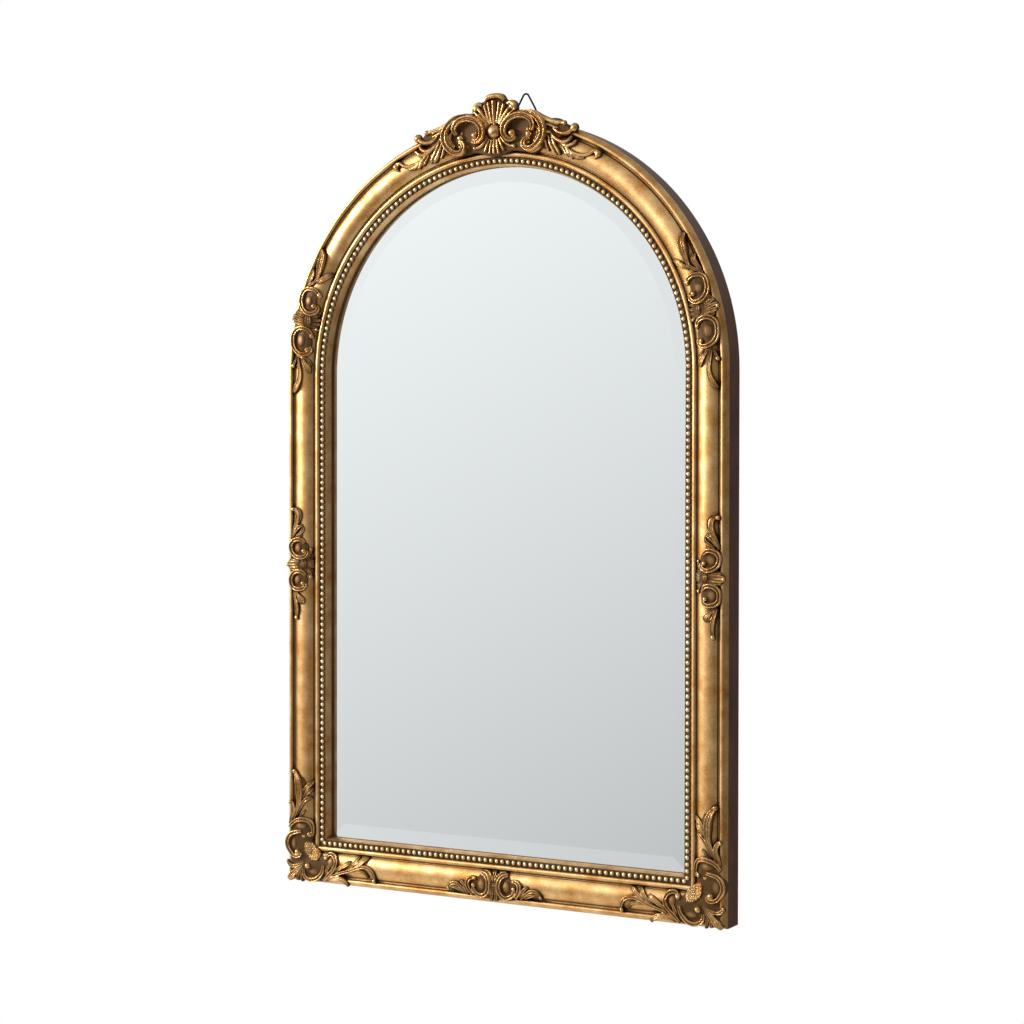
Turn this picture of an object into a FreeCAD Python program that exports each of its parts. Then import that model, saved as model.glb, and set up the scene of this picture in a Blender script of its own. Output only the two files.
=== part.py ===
import FreeCAD, Part
import math
import os

# Arched wall mirror: a gilt moulding with rows of pearls and leaf ornaments, on a brown wooden
# carcass that holds a bevelled mirror glass, a cushion sheet and a back board.
# Lengths are in millimetres. X runs to the right, Z up, and the mirror faces -Y.
# The plane Y = 0 is the wall. The origin is on the wall, midway between the two hanger rings,
# at the height where the hooks carry them.

V = FreeCAD.Vector
CENTRE = V(0, 0, 0)
X_AXIS = V(1, 0, 0)
Y_AXIS = V(0, 1, 0)
Z_AXIS = V(0, 0, 1)

# Whole frame
outer_radius = 300.0  # half the width, and the radius of the half-round arch
straight_height = 632.5  # bottom edge up to the spring line of the arch
hook_rise = 31.2  # top of the arch up to where the hooks bear
wall_gap = 5.0  # thickness of the wall bumpers
cut_overrun = 2.0  # how far every cutting tool runs past the face it cuts

# Gilt moulding, from the outer edge inwards
bead_slope = 2.4  # outer edge to the side of the bead
bead_width = 8.2
quirk_width = 3.6
swell_width = 24.8
inner_quirk_width = 2.3
rib_width = 6.7
channel_width = 8.1
fillet_width = 2.3
# Rises of its face in front of the carcass shoulder
edge_rise = 0.8
bead_side_rise = 5.0
bead_rise = 7.8
bead_foot_rise = 4.4
quirk_rise = 3.2
swell_foot_rise = 4.8
swell_rise = 8.2
swell_end_rise = 2.8
inner_quirk_rise = 1.2
rib_foot_rise = 1.9
rib_rise = 4.0
channel_rise = 0.3
ridge_rise = 1.2
sight_drop = 8.0  # the sight edge lies this far behind the shoulder
swell_crest_share = 0.38  # where the swell is highest, as a share of its width
fillet_middle_share = 0.75
fillet_middle_rise = -2.8

# Carcass behind the moulding
carcass_depth = 28.0
step_offset = 44.0  # outer edge to the step that the moulding hooks over
step_drop = 8.6

# Glass and what lies behind it
glass_thick = 4.0
bevel_width = 25.0
bevel_drop = 2.2
glass_cover = 7.5  # how far the glass runs under the sight edge
rebate_play = 1.5
front_play = 0.1
cushion_thick = 5.4
board_thick = 8.0
board_play = 0.5
block_length = 40.0
block_place = 150.0  # setting blocks, each side of the middle

# Pearls in the channel
pearl_radius = 2.8
pearl_pitch = 7.7
strip_thick = 0.7
strip_play = 0.3

# Dowels in the carcass joints
dowel_radius = 4.0
dowel_length = 30.0
dowel_play = 0.1
dowel_outer_offset = 18.0
dowel_inner_offset = 34.0
dowel_depth = 14.0  # carcass back to the dowel axis

# Hanger rings, bent from round wire into a triangle with equal sides
ring_place = 20.5
ring_side = 33.0
ring_wire_radius = 1.15
ring_corner_radius = 4.0
# Straps folded round the lower side of each ring
strap_thick = 1.0
strap_width = 12.0
strap_play = 0.08
strap_length = 19.5  # ring pivot down to the lower end
strap_screw_drop = 13.5

# Turn buttons on the back
button_width = 12.0
button_thick = 1.6
button_reach = 26.0  # pivot to the inner tip
button_tail = 8.0  # pivot to the outer tip
button_offset = 41.0  # outer edge of the frame to the pivot
button_gap = 0.3
button_play = 0.08
stile_button_height_low = 150.0
stile_button_height_high = 480.0
rail_button_place = 130.0
arch_button_angle = 45.0

# Round wall bumpers
bumper_radius = 7.0
bumper_offset = 20.0
arch_bumper_angle = 62.0

# Screws with round flat heads
screw_radius = 1.6
screw_head_radius = 3.4
screw_head_thick = 1.3
screw_length = 12.0
screw_slot_width = 0.8
screw_slot_depth = 0.6
pilot_play = 0.05

# Ornaments: rises of their parts in front of the shoulder
ornament_back_play = 0.3
ornament_bed = 0.2  # glue between an ornament and the moulding
ornament_base_rise = 9.9
ornament_tier_rise = 14.0
ornament_low_rise = 11.4  # middle of the leaves on the base
ornament_high_rise = 14.8  # middle of the scrolls on the raised part
tier_shrink_share = 0.86
join_tolerance = 0.001
rim_steps = 3  # straight pieces of a base's rim, for each point of its outline
rod_end_share = 1.12  # balls at the ends of a rod, against the rod's radius
scroll_radius = 2.7
leaf_radius = 2.1
flute_radius = 1.6
lobe_radius = 8.5
volute_radius = 6.0
ball_radius = 4.5
crest_half_span = 143.0
crest_height = 80.0
crest_drop = 51.6  # top of the arch down to the height where the crest's tips lie
shoulder_width = 60.0
shoulder_height = 170.0
shoulder_drop = 12.6  # spring line down to the lower tip
side_width = 44.0
side_height = 138.0
side_foot = 327.0  # bottom edge up to the lower tip
side_overhang = 2.0
corner_size = 140.0
corner_overhang = 3.0
bottom_half_span = 66.0
bottom_height = 42.0
bottom_overhang = 1.5

# Sizes that follow
face_width = (bead_width + quirk_width + swell_width + inner_quirk_width
              + rib_width + channel_width + fillet_width)
spring_z = -hook_rise - outer_radius
bottom_z = spring_z - straight_height
back_y = -wall_gap
shoulder_y = back_y - carcass_depth
rebate_offset = face_width - glass_cover - rebate_play
glass_offset = rebate_offset + rebate_play
glass_back_y = back_y - board_thick - cushion_thick
glass_edge_y = glass_back_y - glass_thick + bevel_drop
seat_y = glass_edge_y - bevel_drop * glass_cover / bevel_width - front_play
channel_offset = face_width - fillet_width - channel_width
pearl_offset = channel_offset + channel_width / 2
curl_radius = ring_wire_radius + strap_play + strap_thick
ring_y = back_y + curl_radius
raised_back_y = shoulder_y - swell_rise - 2 * ornament_bed
ring_z = ring_wire_radius + ring_corner_radius - ring_side * math.sin(math.pi / 3)

os.makedirs("parts", exist_ok=True)


def write(name, shape):
    shape.exportStep("parts/" + name + ".step")


def mirrored(shape):
    return shape.mirror(CENTRE, X_AXIS)


def write_pair(name, left_shape):
    write(name + "_left", left_shape)
    write(name + "_right", mirrored(left_shape))


def line(start, end):
    return Part.makeLine(start, end)


def arc(start, middle, end):
    return Part.Arc(start, middle, end).toShape()


def prism(corners, y_from, y_to):
    """A flat outline of X, Z corners, run along Y."""
    points = [V(x, y_from, z) for x, z in corners]
    wire = Part.makePolygon(points + [points[0]])
    return Part.Face(wire).extrude(V(0, y_to - y_from, 0))


def side_point(offset, rise):
    """A point of the left side's section, at the spring line."""
    return V(-outer_radius + offset, shoulder_y - rise, spring_z)


def rail_point(offset, rise):
    """The same point of the bottom rail's section, at its left end."""
    return V(-outer_radius, shoulder_y - rise, bottom_z + offset)


def run_up_side(section):
    return section.extrude(V(0, 0, -straight_height)).cut(corner_prism(False))


def run_round_arch(section):
    return section.revolve(V(0, 0, spring_z), Y_AXIS, 90)


def run_along_rail(section):
    rail = section.extrude(V(2 * outer_radius, 0, 0))
    cutter = corner_prism(True)
    return rail.cut(cutter).cut(mirrored(cutter))


def corner_prism(above):
    """The half of the lower left corner above or below the mitre line."""
    near = -cut_overrun
    far = face_width + cut_overrun
    free_corner = (near, far) if above else (far, near)
    corners = [(-outer_radius + x, bottom_z + z) for x, z in ((near, near), (far, far), free_corner)]
    return prism(corners, 0, shoulder_y - ornament_base_rise)


# Gilt moulding

def moulding_section(point):
    """The face of the moulding, with a bead, a broad swell, a rib and a channel."""
    bead_end = bead_width
    bead_middle = (bead_slope + bead_end) / 2
    swell_start = bead_end + quirk_width
    swell_end = swell_start + swell_width
    rib_start = swell_end + inner_quirk_width
    rib_end = rib_start + rib_width
    ridge_start = rib_end + channel_width
    edges = [
        line(point(0, 0), point(0, edge_rise)),
        line(point(0, edge_rise), point(bead_slope, bead_side_rise)),
        arc(point(bead_slope, bead_side_rise), point(bead_middle, bead_rise),
            point(bead_end, bead_foot_rise)),
        arc(point(bead_end, bead_foot_rise), point(bead_end + quirk_width / 2, quirk_rise),
            point(swell_start, swell_foot_rise)),
        arc(point(swell_start, swell_foot_rise),
            point(swell_start + swell_width * swell_crest_share, swell_rise),
            point(swell_end, swell_end_rise)),
        arc(point(swell_end, swell_end_rise),
            point(swell_end + inner_quirk_width / 2, inner_quirk_rise),
            point(rib_start, rib_foot_rise)),
        arc(point(rib_start, rib_foot_rise), point(rib_start + rib_width / 2, rib_rise),
            point(rib_end, channel_rise)),
        line(point(rib_end, channel_rise), point(ridge_start, channel_rise)),
        line(point(ridge_start, channel_rise), point(ridge_start, ridge_rise)),
        arc(point(ridge_start, ridge_rise),
            point(ridge_start + fillet_width * fillet_middle_share, fillet_middle_rise),
            point(face_width, -sight_drop)),
        line(point(face_width, -sight_drop), point(face_width, -step_drop)),
        line(point(face_width, -step_drop), point(step_offset, -step_drop)),
        line(point(step_offset, -step_drop), point(step_offset, 0)),
        line(point(step_offset, 0), point(0, 0)),
    ]
    return Part.Face(Part.Wire(edges))


moulding_side = run_up_side(moulding_section(side_point))
moulding_arch = run_round_arch(moulding_section(side_point))
moulding_rail = run_along_rail(moulding_section(rail_point))
write_pair("moulding", moulding_side)
write_pair("moulding_arch", moulding_arch)
write("moulding_bottom", moulding_rail)


# Screws

def screw(head_back, direction):
    """A screw whose head rests with its underside at head_back and points along direction."""
    shank = Part.makeCylinder(screw_radius, screw_length, head_back, direction)
    head = Part.makeCylinder(screw_head_radius, screw_head_thick, head_back, direction * -1)
    head_top = head_back - direction * screw_head_thick
    slot = Part.makeBox(screw_slot_width, screw_slot_depth, 2 * screw_head_radius)
    slot.translate(V(-screw_slot_width / 2, -screw_slot_depth, -screw_head_radius))
    slot.translate(head_top)
    return shank.fuse(head).cut(slot)


def pilot_hole(place):
    start = V(place.x, back_y + cut_overrun, place.z)
    return Part.makeCylinder(screw_radius + pilot_play, screw_length + cut_overrun, start, V(0, -1, 0))


def strap_screw_place():
    """Where the screw of the left strap enters the carcass back."""
    return V(-ring_place, back_y, ring_z - strap_screw_drop)


def left_button_places():
    """Pivots on the left half, each with the direction of its tip across the rebate."""
    places = []
    side_x = -outer_radius + button_offset
    for height in (stile_button_height_low, stile_button_height_high):
        places.append((V(side_x, back_y, bottom_z + height), V(1, 0, 0)))
    places.append((V(-rail_button_place, back_y, bottom_z + button_offset), V(0, 0, 1)))
    angle = math.radians(arch_button_angle)
    outward = V(-math.cos(angle), 0, math.sin(angle))
    pivot = outward * (outer_radius - button_offset) + V(0, back_y, spring_z)
    places.append((pivot, outward * -1))
    return places


# Carcass with a rebate, in five pieces

def carcass_section(point):
    back_rise = -carcass_depth
    seat_rise = shoulder_y - seat_y
    corners = [
        point(0, back_rise),
        point(0, 0),
        point(step_offset, 0),
        point(step_offset, -step_drop),
        point(face_width, -step_drop),
        point(face_width, seat_rise),
        point(rebate_offset, seat_rise),
        point(rebate_offset, back_rise),
    ]
    return Part.Face(Part.makePolygon(corners + [corners[0]]))


def left_dowel_places():
    """Middle and direction of the dowels at the left mitre, the left spring line and the crown."""
    y = back_y - dowel_depth
    across_mitre = V(1, 0, -1).normalize()
    places = []
    for offset in (dowel_outer_offset, dowel_inner_offset):
        places.append((V(-outer_radius + offset, y, bottom_z + offset), across_mitre))
        places.append((V(-outer_radius + offset, y, spring_z), Z_AXIS))
    return places


def crown_dowel_places():
    y = back_y - dowel_depth
    return [(V(0, y, spring_z + outer_radius - offset), X_AXIS)
            for offset in (dowel_outer_offset, dowel_inner_offset)]


def dowel(place, direction, radius, length):
    start = place - direction * (length / 2)
    return Part.makeCylinder(radius, length, start, direction)


left_dowels = [dowel(place, way, dowel_radius, dowel_length) for place, way in left_dowel_places()]
crown_dowels = [dowel(place, way, dowel_radius, dowel_length) for place, way in crown_dowel_places()]
dowel_hole_radius = dowel_radius + dowel_play
dowel_hole_length = dowel_length + 2 * dowel_play
carcass_holes = [dowel(place, way, dowel_hole_radius, dowel_hole_length)
                 for place, way in left_dowel_places() + crown_dowel_places()]
carcass_holes += [pilot_hole(place) for place, way in left_button_places()]
carcass_holes.append(pilot_hole(strap_screw_place()))
carcass_side = run_up_side(carcass_section(side_point)).cut(carcass_holes)
carcass_arch = run_round_arch(carcass_section(side_point)).cut(carcass_holes)
carcass_rail = run_along_rail(carcass_section(rail_point)).cut(carcass_holes)
carcass_rail = carcass_rail.cut([mirrored(hole) for hole in carcass_holes])
write_pair("carcass_stile", carcass_side)
write_pair("carcass_arch", carcass_arch)
write("carcass_bottom_rail", carcass_rail)
all_dowels = left_dowels + [mirrored(solid) for solid in left_dowels] + crown_dowels
write("joint_dowels", Part.makeCompound(all_dowels))


# Glass, cushion sheet and back board

def arched_outline(offset, y):
    """The frame's outline moved inwards, as a wire with the arch in two quarters."""
    half = outer_radius - offset
    low = bottom_z + offset
    slant = half * math.sqrt(0.5)
    crown = V(0, y, spring_z + half)
    left_foot = V(-half, y, low)
    right_foot = V(half, y, low)
    left_spring = V(-half, y, spring_z)
    right_spring = V(half, y, spring_z)
    edges = [
        line(left_foot, right_foot),
        line(right_foot, right_spring),
        arc(right_spring, V(slant, y, spring_z + slant), crown),
        arc(crown, V(-slant, y, spring_z + slant), left_spring),
        line(left_spring, left_foot),
    ]
    return Part.Wire(edges)


def arched_sheet(offset, y_back, thickness):
    return Part.Face(arched_outline(offset, y_back)).extrude(V(0, -thickness, 0))


def mirror_glass():
    plate = arched_sheet(glass_offset, glass_back_y, glass_thick - bevel_drop)
    wires = [arched_outline(glass_offset, glass_edge_y),
             arched_outline(glass_offset + bevel_width, glass_edge_y - bevel_drop)]
    raised = Part.makeLoft(wires, True, True)
    return plate.fuse(raised)


def setting_block(side):
    block = Part.makeBox(block_length, glass_thick - bevel_drop, rebate_play)
    left = side * block_place - block_length / 2
    block.translate(V(left, glass_edge_y, bottom_z + rebate_offset))
    return block


write("mirror_plate", mirror_glass())
write("glass_cushion", arched_sheet(glass_offset, back_y - board_thick, cushion_thick))
write("back_board", arched_sheet(rebate_offset + board_play, back_y, board_thick))
write("setting_blocks", Part.makeCompound([setting_block(-1), setting_block(1)]))


# Rows of pearls, each row moulded in one strip

def pearl(place):
    return Part.makeSphere(pearl_radius, place, V(0, -1, 0), 0, 90, 360)


def strip_section(point):
    top = channel_rise + strip_thick
    near = channel_offset + strip_play
    far = channel_offset + channel_width - strip_play
    corners = [point(near, channel_rise), point(near, top), point(far, top), point(far, channel_rise)]
    return Part.Face(Part.makePolygon(corners + [corners[0]]))


pearl_y = shoulder_y - channel_rise - strip_thick


def row_places(count):
    """Middles of equal steps along a row, as shares of its length."""
    return [(index + 0.5) / count for index in range(count)]


def pearls_up_side():
    start_z = bottom_z + pearl_offset
    length = spring_z - start_z
    count = round(length / pearl_pitch)
    x = -outer_radius + pearl_offset
    return [pearl(V(x, pearl_y, start_z + share * length)) for share in row_places(count)]


def pearls_round_arch():
    radius = outer_radius - pearl_offset
    count = round(radius * math.pi / 2 / pearl_pitch)
    places = []
    for share in row_places(count):
        angle = share * math.pi / 2
        places.append(V(-radius * math.cos(angle), pearl_y, spring_z + radius * math.sin(angle)))
    return [pearl(place) for place in places]


def pearls_along_rail():
    half = outer_radius - pearl_offset
    count = round(2 * half / pearl_pitch)
    z = bottom_z + pearl_offset
    return [pearl(V(-half + share * 2 * half, pearl_y, z)) for share in row_places(count)]


strip_side = run_up_side(strip_section(side_point))
strip_arch = run_round_arch(strip_section(side_point))
strip_rail = run_along_rail(strip_section(rail_point))
write_pair("pearl_strip", strip_side.fuse(pearls_up_side()))
write_pair("pearl_strip_arch", strip_arch.fuse(pearls_round_arch()))
write("pearl_strip_bottom", strip_rail.fuse(pearls_along_rail()))


# Hanger rings and straps

def ring_wire():
    """The middle line of the left ring, a triangle with rounded corners."""
    half = ring_side / 2
    height = ring_side * math.sin(math.pi / 3)
    corners = [V(-half, 0, 0), V(half, 0, 0), V(0, 0, height)]
    middle = V(0, 0, height / 3)
    tangent_length = ring_corner_radius / math.tan(math.pi / 6)
    edges = []
    for index in range(3):
        before = corners[index - 1]
        corner = corners[index]
        after = corners[(index + 1) % 3]
        inwards = (middle - corner).normalize()
        bend_start = corner + (before - corner).normalize() * tangent_length
        bend_end = corner + (after - corner).normalize() * tangent_length
        next_start = after + (corner - after).normalize() * tangent_length
        edges.append(arc(bend_start, corner + inwards * ring_corner_radius, bend_end))
        edges.append(line(bend_end, next_start))
    wire = Part.Wire(edges)
    wire.translate(V(-ring_place, ring_y, ring_z))
    return wire


def tube(path_wire, radius):
    """A round bar along a wire."""
    first_edge = path_wire.OrderedEdges[0]
    start = first_edge.valueAt(first_edge.FirstParameter)
    way = first_edge.tangentAt(first_edge.FirstParameter)
    section = Part.Wire(Part.makeCircle(radius, start, way))
    return path_wire.makePipeShell([section], True, False)


def hanger_strap():
    """A steel strap with a curl round the ring's lower side and a flat tail on the carcass."""
    left = -ring_place - strap_width / 2
    curl = Part.makeCylinder(curl_radius, strap_width, V(left, ring_y, ring_z), X_AXIS)
    tail = Part.makeBox(strap_width, strap_thick, strap_length)
    tail.translate(V(left, back_y, ring_z - strap_length))
    bore_start = V(left - cut_overrun, ring_y, ring_z)
    bore = Part.makeCylinder(ring_wire_radius + strap_play, strap_width + 2 * cut_overrun,
                             bore_start, X_AXIS)
    return curl.fuse(tail).cut([bore, pilot_hole(strap_screw_place())])


write_pair("hanger_ring", tube(ring_wire(), ring_wire_radius))
write_pair("hanger_strap", hanger_strap())
strap_screw = screw(strap_screw_place() + V(0, strap_thick, 0), V(0, -1, 0))
write("strap_screws", Part.makeCompound([strap_screw, mirrored(strap_screw)]))


# Turn buttons over the back board

def turn_button(pivot, inwards):
    """A flat bar with round ends that turns on its screw."""
    end_radius = button_width / 2
    across = inwards.cross(Y_AXIS) * end_radius
    low_y = V(0, button_gap, 0)
    tip_middle = pivot + low_y + inwards * (button_reach - end_radius)
    tail_middle = pivot + low_y - inwards * (button_tail - end_radius)
    tip = tip_middle + inwards * end_radius
    tail = tail_middle - inwards * end_radius
    edges = [
        line(tail_middle + across, tip_middle + across),
        arc(tip_middle + across, tip, tip_middle - across),
        line(tip_middle - across, tail_middle - across),
        arc(tail_middle - across, tail, tail_middle + across),
    ]
    bar = Part.Face(Part.Wire(edges)).extrude(V(0, button_thick, 0))
    hole = Part.makeCylinder(screw_radius + button_play, wall_gap, pivot, Y_AXIS)
    return bar.cut(hole)


button_names = ["turn_button_low", "turn_button_high", "turn_button_bottom", "turn_button_arch"]
button_screws = []
for name, (pivot, inwards) in zip(button_names, left_button_places()):
    write_pair(name, turn_button(pivot, inwards))
    head_y = button_gap + button_thick + button_gap
    button_screws.append(screw(pivot + V(0, head_y, 0), V(0, -1, 0)))
write("turn_button_screws", Part.makeCompound(button_screws + [mirrored(s) for s in button_screws]))


# Wall bumpers

def left_bumpers():
    low = V(-outer_radius + bumper_offset, back_y, bottom_z + bumper_offset)
    angle = math.radians(arch_bumper_angle)
    reach = outer_radius - bumper_offset
    high = V(-reach * math.cos(angle), back_y, spring_z + reach * math.sin(angle))
    return [Part.makeCylinder(bumper_radius, wall_gap, place, Y_AXIS) for place in (low, high)]


write("wall_bumpers", Part.makeCompound(left_bumpers() + [mirrored(b) for b in left_bumpers()]))


# Ornaments, cast with a flat base and a raised middle, and bedded onto the moulding

def curve_wire(points):
    if len(points) == 2:
        return Part.Wire(line(points[0], points[1]))
    curve = Part.BSplineCurve()
    curve.interpolate(Points=points)
    return Part.Wire(curve.toShape())


def outline_wire(points):
    """A smooth closed curve through the points."""
    curve = Part.BSplineCurve()
    curve.interpolate(Points=points, PeriodicFlag=True)
    return Part.Wire(curve.toShape())


def raised_block(points, low_y, high_y):
    """The raised middle: its outline at low_y, drawn in a little at high_y."""
    middle = sum(points, CENTRE) * (1 / len(points))
    low_points = [V(p.x, low_y, p.z) for p in points]
    drawn_in = [middle + (p - middle) * tier_shrink_share for p in points]
    high_points = [V(p.x, high_y, p.z) for p in drawn_in]
    return Part.makeLoft([outline_wire(low_points), outline_wire(high_points)], True)


def rod(points, radius):
    """A round bar through the points with a ball at each end."""
    end_radius = radius * rod_end_share
    body = tube(curve_wire(points), radius)
    return [body, Part.makeSphere(end_radius, points[0]), Part.makeSphere(end_radius, points[-1])]


def largest_solid(shape):
    return max(shape.Solids, key=lambda solid: solid.Volume)


def glue_beds(mouldings):
    """The mouldings moved forward by the glue, to cut the underside of an ornament with."""
    beds = [moulding.copy() for moulding in mouldings]
    for bed in beds:
        bed.translate(V(0, -ornament_bed, 0))
    return beds


def base_block(place, outline_shares, mouldings):
    """The flat base, its underside cut to the mouldings that it lies on."""
    points = [place(across, up, 0) for across, up in outline_shares]
    rim = outline_wire(points).discretize(Number=rim_steps * len(points))
    corners = [(p.x, p.z) for p in rim[:-1]]
    block = prism(corners, shoulder_y - ornament_back_play, shoulder_y - ornament_base_rise)
    return largest_solid(block.cut(mouldings))


def rods(place, rods_share, radius, rise):
    pieces = []
    for points_share in rods_share:
        pieces += rod([place(across, up, rise) for across, up in points_share], radius)
    return pieces


def balls(place, balls_share, radius, rise, mouldings):
    spheres = [Part.makeSphere(radius, place(across, up, rise)) for across, up in balls_share]
    return [sphere.cut(mouldings) for sphere in spheres]


def joined(pieces):
    """All pieces as one solid."""
    return pieces[0].fuse(pieces[1:], join_tolerance)


def both_sides(shares):
    """A right half outline from top to bottom, with its left half added."""
    return shares + [(-across, up) for across, up in reversed(shares) if across > 0]


# Crest: palmette over a ball, two C-scrolls on each side and leaf sprays along the arch.
# Its right half, in shares of the half span and of the height.

def crest_place(across, up, rise):
    crest_z = spring_z + outer_radius - crest_drop
    return V(across * crest_half_span, shoulder_y - rise, crest_z + up * crest_height)


crest_outline_shares = [
    (0, 1.0), (0.08, 0.99), (0.115, 0.90), (0.17, 0.87), (0.21, 0.80), (0.20, 0.72),
    (0.315, 0.72), (0.42, 0.66), (0.545, 0.575), (0.685, 0.525), (0.75, 0.40), (0.78, 0.25),
    (0.85, 0.14), (0.93, 0.12), (0.99, 0.05), (0.96, -0.04), (0.85, -0.02), (0.755, -0.04),
    (0.685, 0.05), (0.615, 0.06), (0.525, 0.10), (0.405, 0.155), (0.28, 0.12), (0.175, 0.15),
    (0.09, 0.11), (0, 0.08),
]
crest_raised_shares = [
    (0, 0.94), (0.10, 0.86), (0.18, 0.77), (0.30, 0.70), (0.42, 0.62), (0.49, 0.48),
    (0.48, 0.32), (0.42, 0.20), (0.30, 0.17), (0.16, 0.20), (0, 0.14),
]
crest_scrolls_share = [
    [(0.18, 0.31), (0.126, 0.345), (0.105, 0.425), (0.125, 0.51), (0.196, 0.62), (0.29, 0.665),
     (0.37, 0.61), (0.415, 0.50), (0.385, 0.41)],
    [(0.27, 0.71), (0.38, 0.65), (0.455, 0.52), (0.47, 0.39), (0.45, 0.29), (0.41, 0.225),
     (0.36, 0.205)],
]
crest_middle_flutes_share = [
    [(0, 0.40), (0, 0.11)],
    [(0, 0.50), (0, 0.94)],
]
crest_flutes_share = [
    [(0.028, 0.40), (0.052, 0.13)],
    [(0.05, 0.36), (0.10, 0.17)],
    [(0.055, 0.30), (0.11, 0.25), (0.18, 0.215)],
    [(0.028, 0.50), (0.06, 0.92)],
    [(0.054, 0.48), (0.105, 0.70), (0.15, 0.82)],
    [(0.058, 0.42), (0.125, 0.62), (0.185, 0.76)],
]
crest_leaves_share = [
    [(0.46, 0.70), (0.56, 0.57), (0.68, 0.50)],
    [(0.566, 0.425), (0.648, 0.36), (0.713, 0.39), (0.74, 0.43)],
    [(0.585, 0.32), (0.64, 0.24), (0.727, 0.30)],
    [(0.685, 0.16), (0.73, 0.21), (0.775, 0.25)],
    [(0.51, 0.325), (0.53, 0.20), (0.58, 0.09)],
    [(0.545, 0.34), (0.573, 0.21), (0.615, 0.10)],
    [(0.657, 0.16), (0.69, 0.07)],
    [(0.676, 0.175), (0.706, 0.09), (0.745, 0.0)],
    [(0.713, 0.16), (0.776, 0.085), (0.86, 0.035), (0.92, 0.08), (0.96, 0.05)],
]
crest_middle_lobes_share = [(0, 0.94), (0, 0.45)]
crest_lobes_share = [(0.145, 0.79)]
crest_volutes_share = [(0.19, 0.40), (0.325, 0.275), (0.325, 0.47)]
crest_balls_share = [(0.745, 0.42), (0.965, 0.02), (0.18, 0.22)]


def crest():
    mouldings = glue_beds([moulding_arch, mirrored(moulding_arch)])
    side = rods(crest_place, crest_scrolls_share, scroll_radius, ornament_high_rise)
    side += rods(crest_place, crest_flutes_share, flute_radius, ornament_tier_rise)
    side += rods(crest_place, crest_leaves_share, leaf_radius, ornament_low_rise)
    side += balls(crest_place, crest_lobes_share, lobe_radius, ornament_low_rise, mouldings)
    side += balls(crest_place, crest_volutes_share, volute_radius, ornament_base_rise, mouldings)
    side += balls(crest_place, crest_balls_share, ball_radius, ornament_base_rise, mouldings)
    middle = rods(crest_place, crest_middle_flutes_share, flute_radius, ornament_tier_rise)
    middle += balls(crest_place, crest_middle_lobes_share, lobe_radius, ornament_low_rise, mouldings)
    base = base_block(crest_place, both_sides(crest_outline_shares), mouldings)
    raised_points = [crest_place(a, up, 0) for a, up in both_sides(crest_raised_shares)]
    raised = raised_block(raised_points, raised_back_y, shoulder_y - ornament_tier_rise)
    return joined([base, raised] + middle + side + [mirrored(piece) for piece in side])


write("crest_ornament", crest())


# Shoulder ornament on the left, where the arch meets the side: two C-scrolls, a small palmette
# over the outer edge between them, and leaves above and below.
# In shares of its width inwards from the outer edge, and of its height.

def shoulder_place(across, up, rise):
    z = spring_z - shoulder_drop + up * shoulder_height
    return V(-outer_radius + across * shoulder_width, shoulder_y - rise, z)


shoulder_outline_shares = [
    (0.90, 0.98), (1.03, 0.91), (1.06, 0.81), (0.87, 0.73), (0.89, 0.65), (0.78, 0.58),
    (0.82, 0.50), (0.74, 0.42), (0.64, 0.36), (0.64, 0.26), (0.60, 0.17), (0.57, 0.06),
    (0.40, 0.0), (0.20, 0.03), (0.15, 0.15), (0.10, 0.27), (0.10, 0.38), (0.14, 0.44),
    (0.12, 0.51), (0.22, 0.58), (0.33, 0.63), (0.36, 0.70), (0.43, 0.78), (0.57, 0.85),
    (0.70, 0.91),
]
shoulder_scrolls_share = [
    [(0.88, 0.665), (0.70, 0.70), (0.50, 0.68), (0.40, 0.61), (0.47, 0.55), (0.62, 0.53),
     (0.73, 0.565)],
    [(0.57, 0.37), (0.42, 0.42), (0.23, 0.39), (0.17, 0.32), (0.25, 0.26), (0.42, 0.235),
     (0.57, 0.26)],
]
shoulder_leaves_share = [
    [(0.57, 0.505), (0.57, 0.44)],
    [(0.60, 0.48), (0.79, 0.465)],
    [(0.63, 0.72), (0.80, 0.805), (0.92, 0.88), (0.89, 0.95)],
    [(0.53, 0.735), (0.60, 0.80), (0.63, 0.84)],
    [(0.63, 0.705), (0.87, 0.765), (1.0, 0.805)],
    [(0.23, 0.21), (0.22, 0.06)],
    [(0.33, 0.21), (0.37, 0.04)],
    [(0.45, 0.205), (0.52, 0.07)],
]
shoulder_balls_share = [(0.66, 0.58), (0.50, 0.277), (0.29, 0.547), (0.23, 0.506), (0.28, 0.46)]


def shoulder_ornament():
    mouldings = glue_beds([moulding_side, moulding_arch])
    pieces = [base_block(shoulder_place, shoulder_outline_shares, mouldings)]
    pieces += rods(shoulder_place, shoulder_scrolls_share, scroll_radius, ornament_low_rise)
    pieces += rods(shoulder_place, shoulder_leaves_share, leaf_radius, ornament_low_rise)
    pieces += balls(shoulder_place, shoulder_balls_share, ball_radius, ornament_base_rise, mouldings)
    return joined(pieces)


write_pair("shoulder_ornament", shoulder_ornament())


# Side ornament on the left, half way down: the same above and below its middle.

def side_place(across, up, rise):
    x = -outer_radius - side_overhang + across * side_width
    return V(x, shoulder_y - rise, bottom_z + side_foot + up * side_height)


def both_ends(shares):
    """An upper half outline from outside to inside, with its lower half added."""
    return shares + [(across, 1 - up) for across, up in reversed(shares) if up > 0.5]


def upside_down(rods_share):
    return [[(across, 1 - up) for across, up in points_share] for points_share in rods_share]


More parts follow.
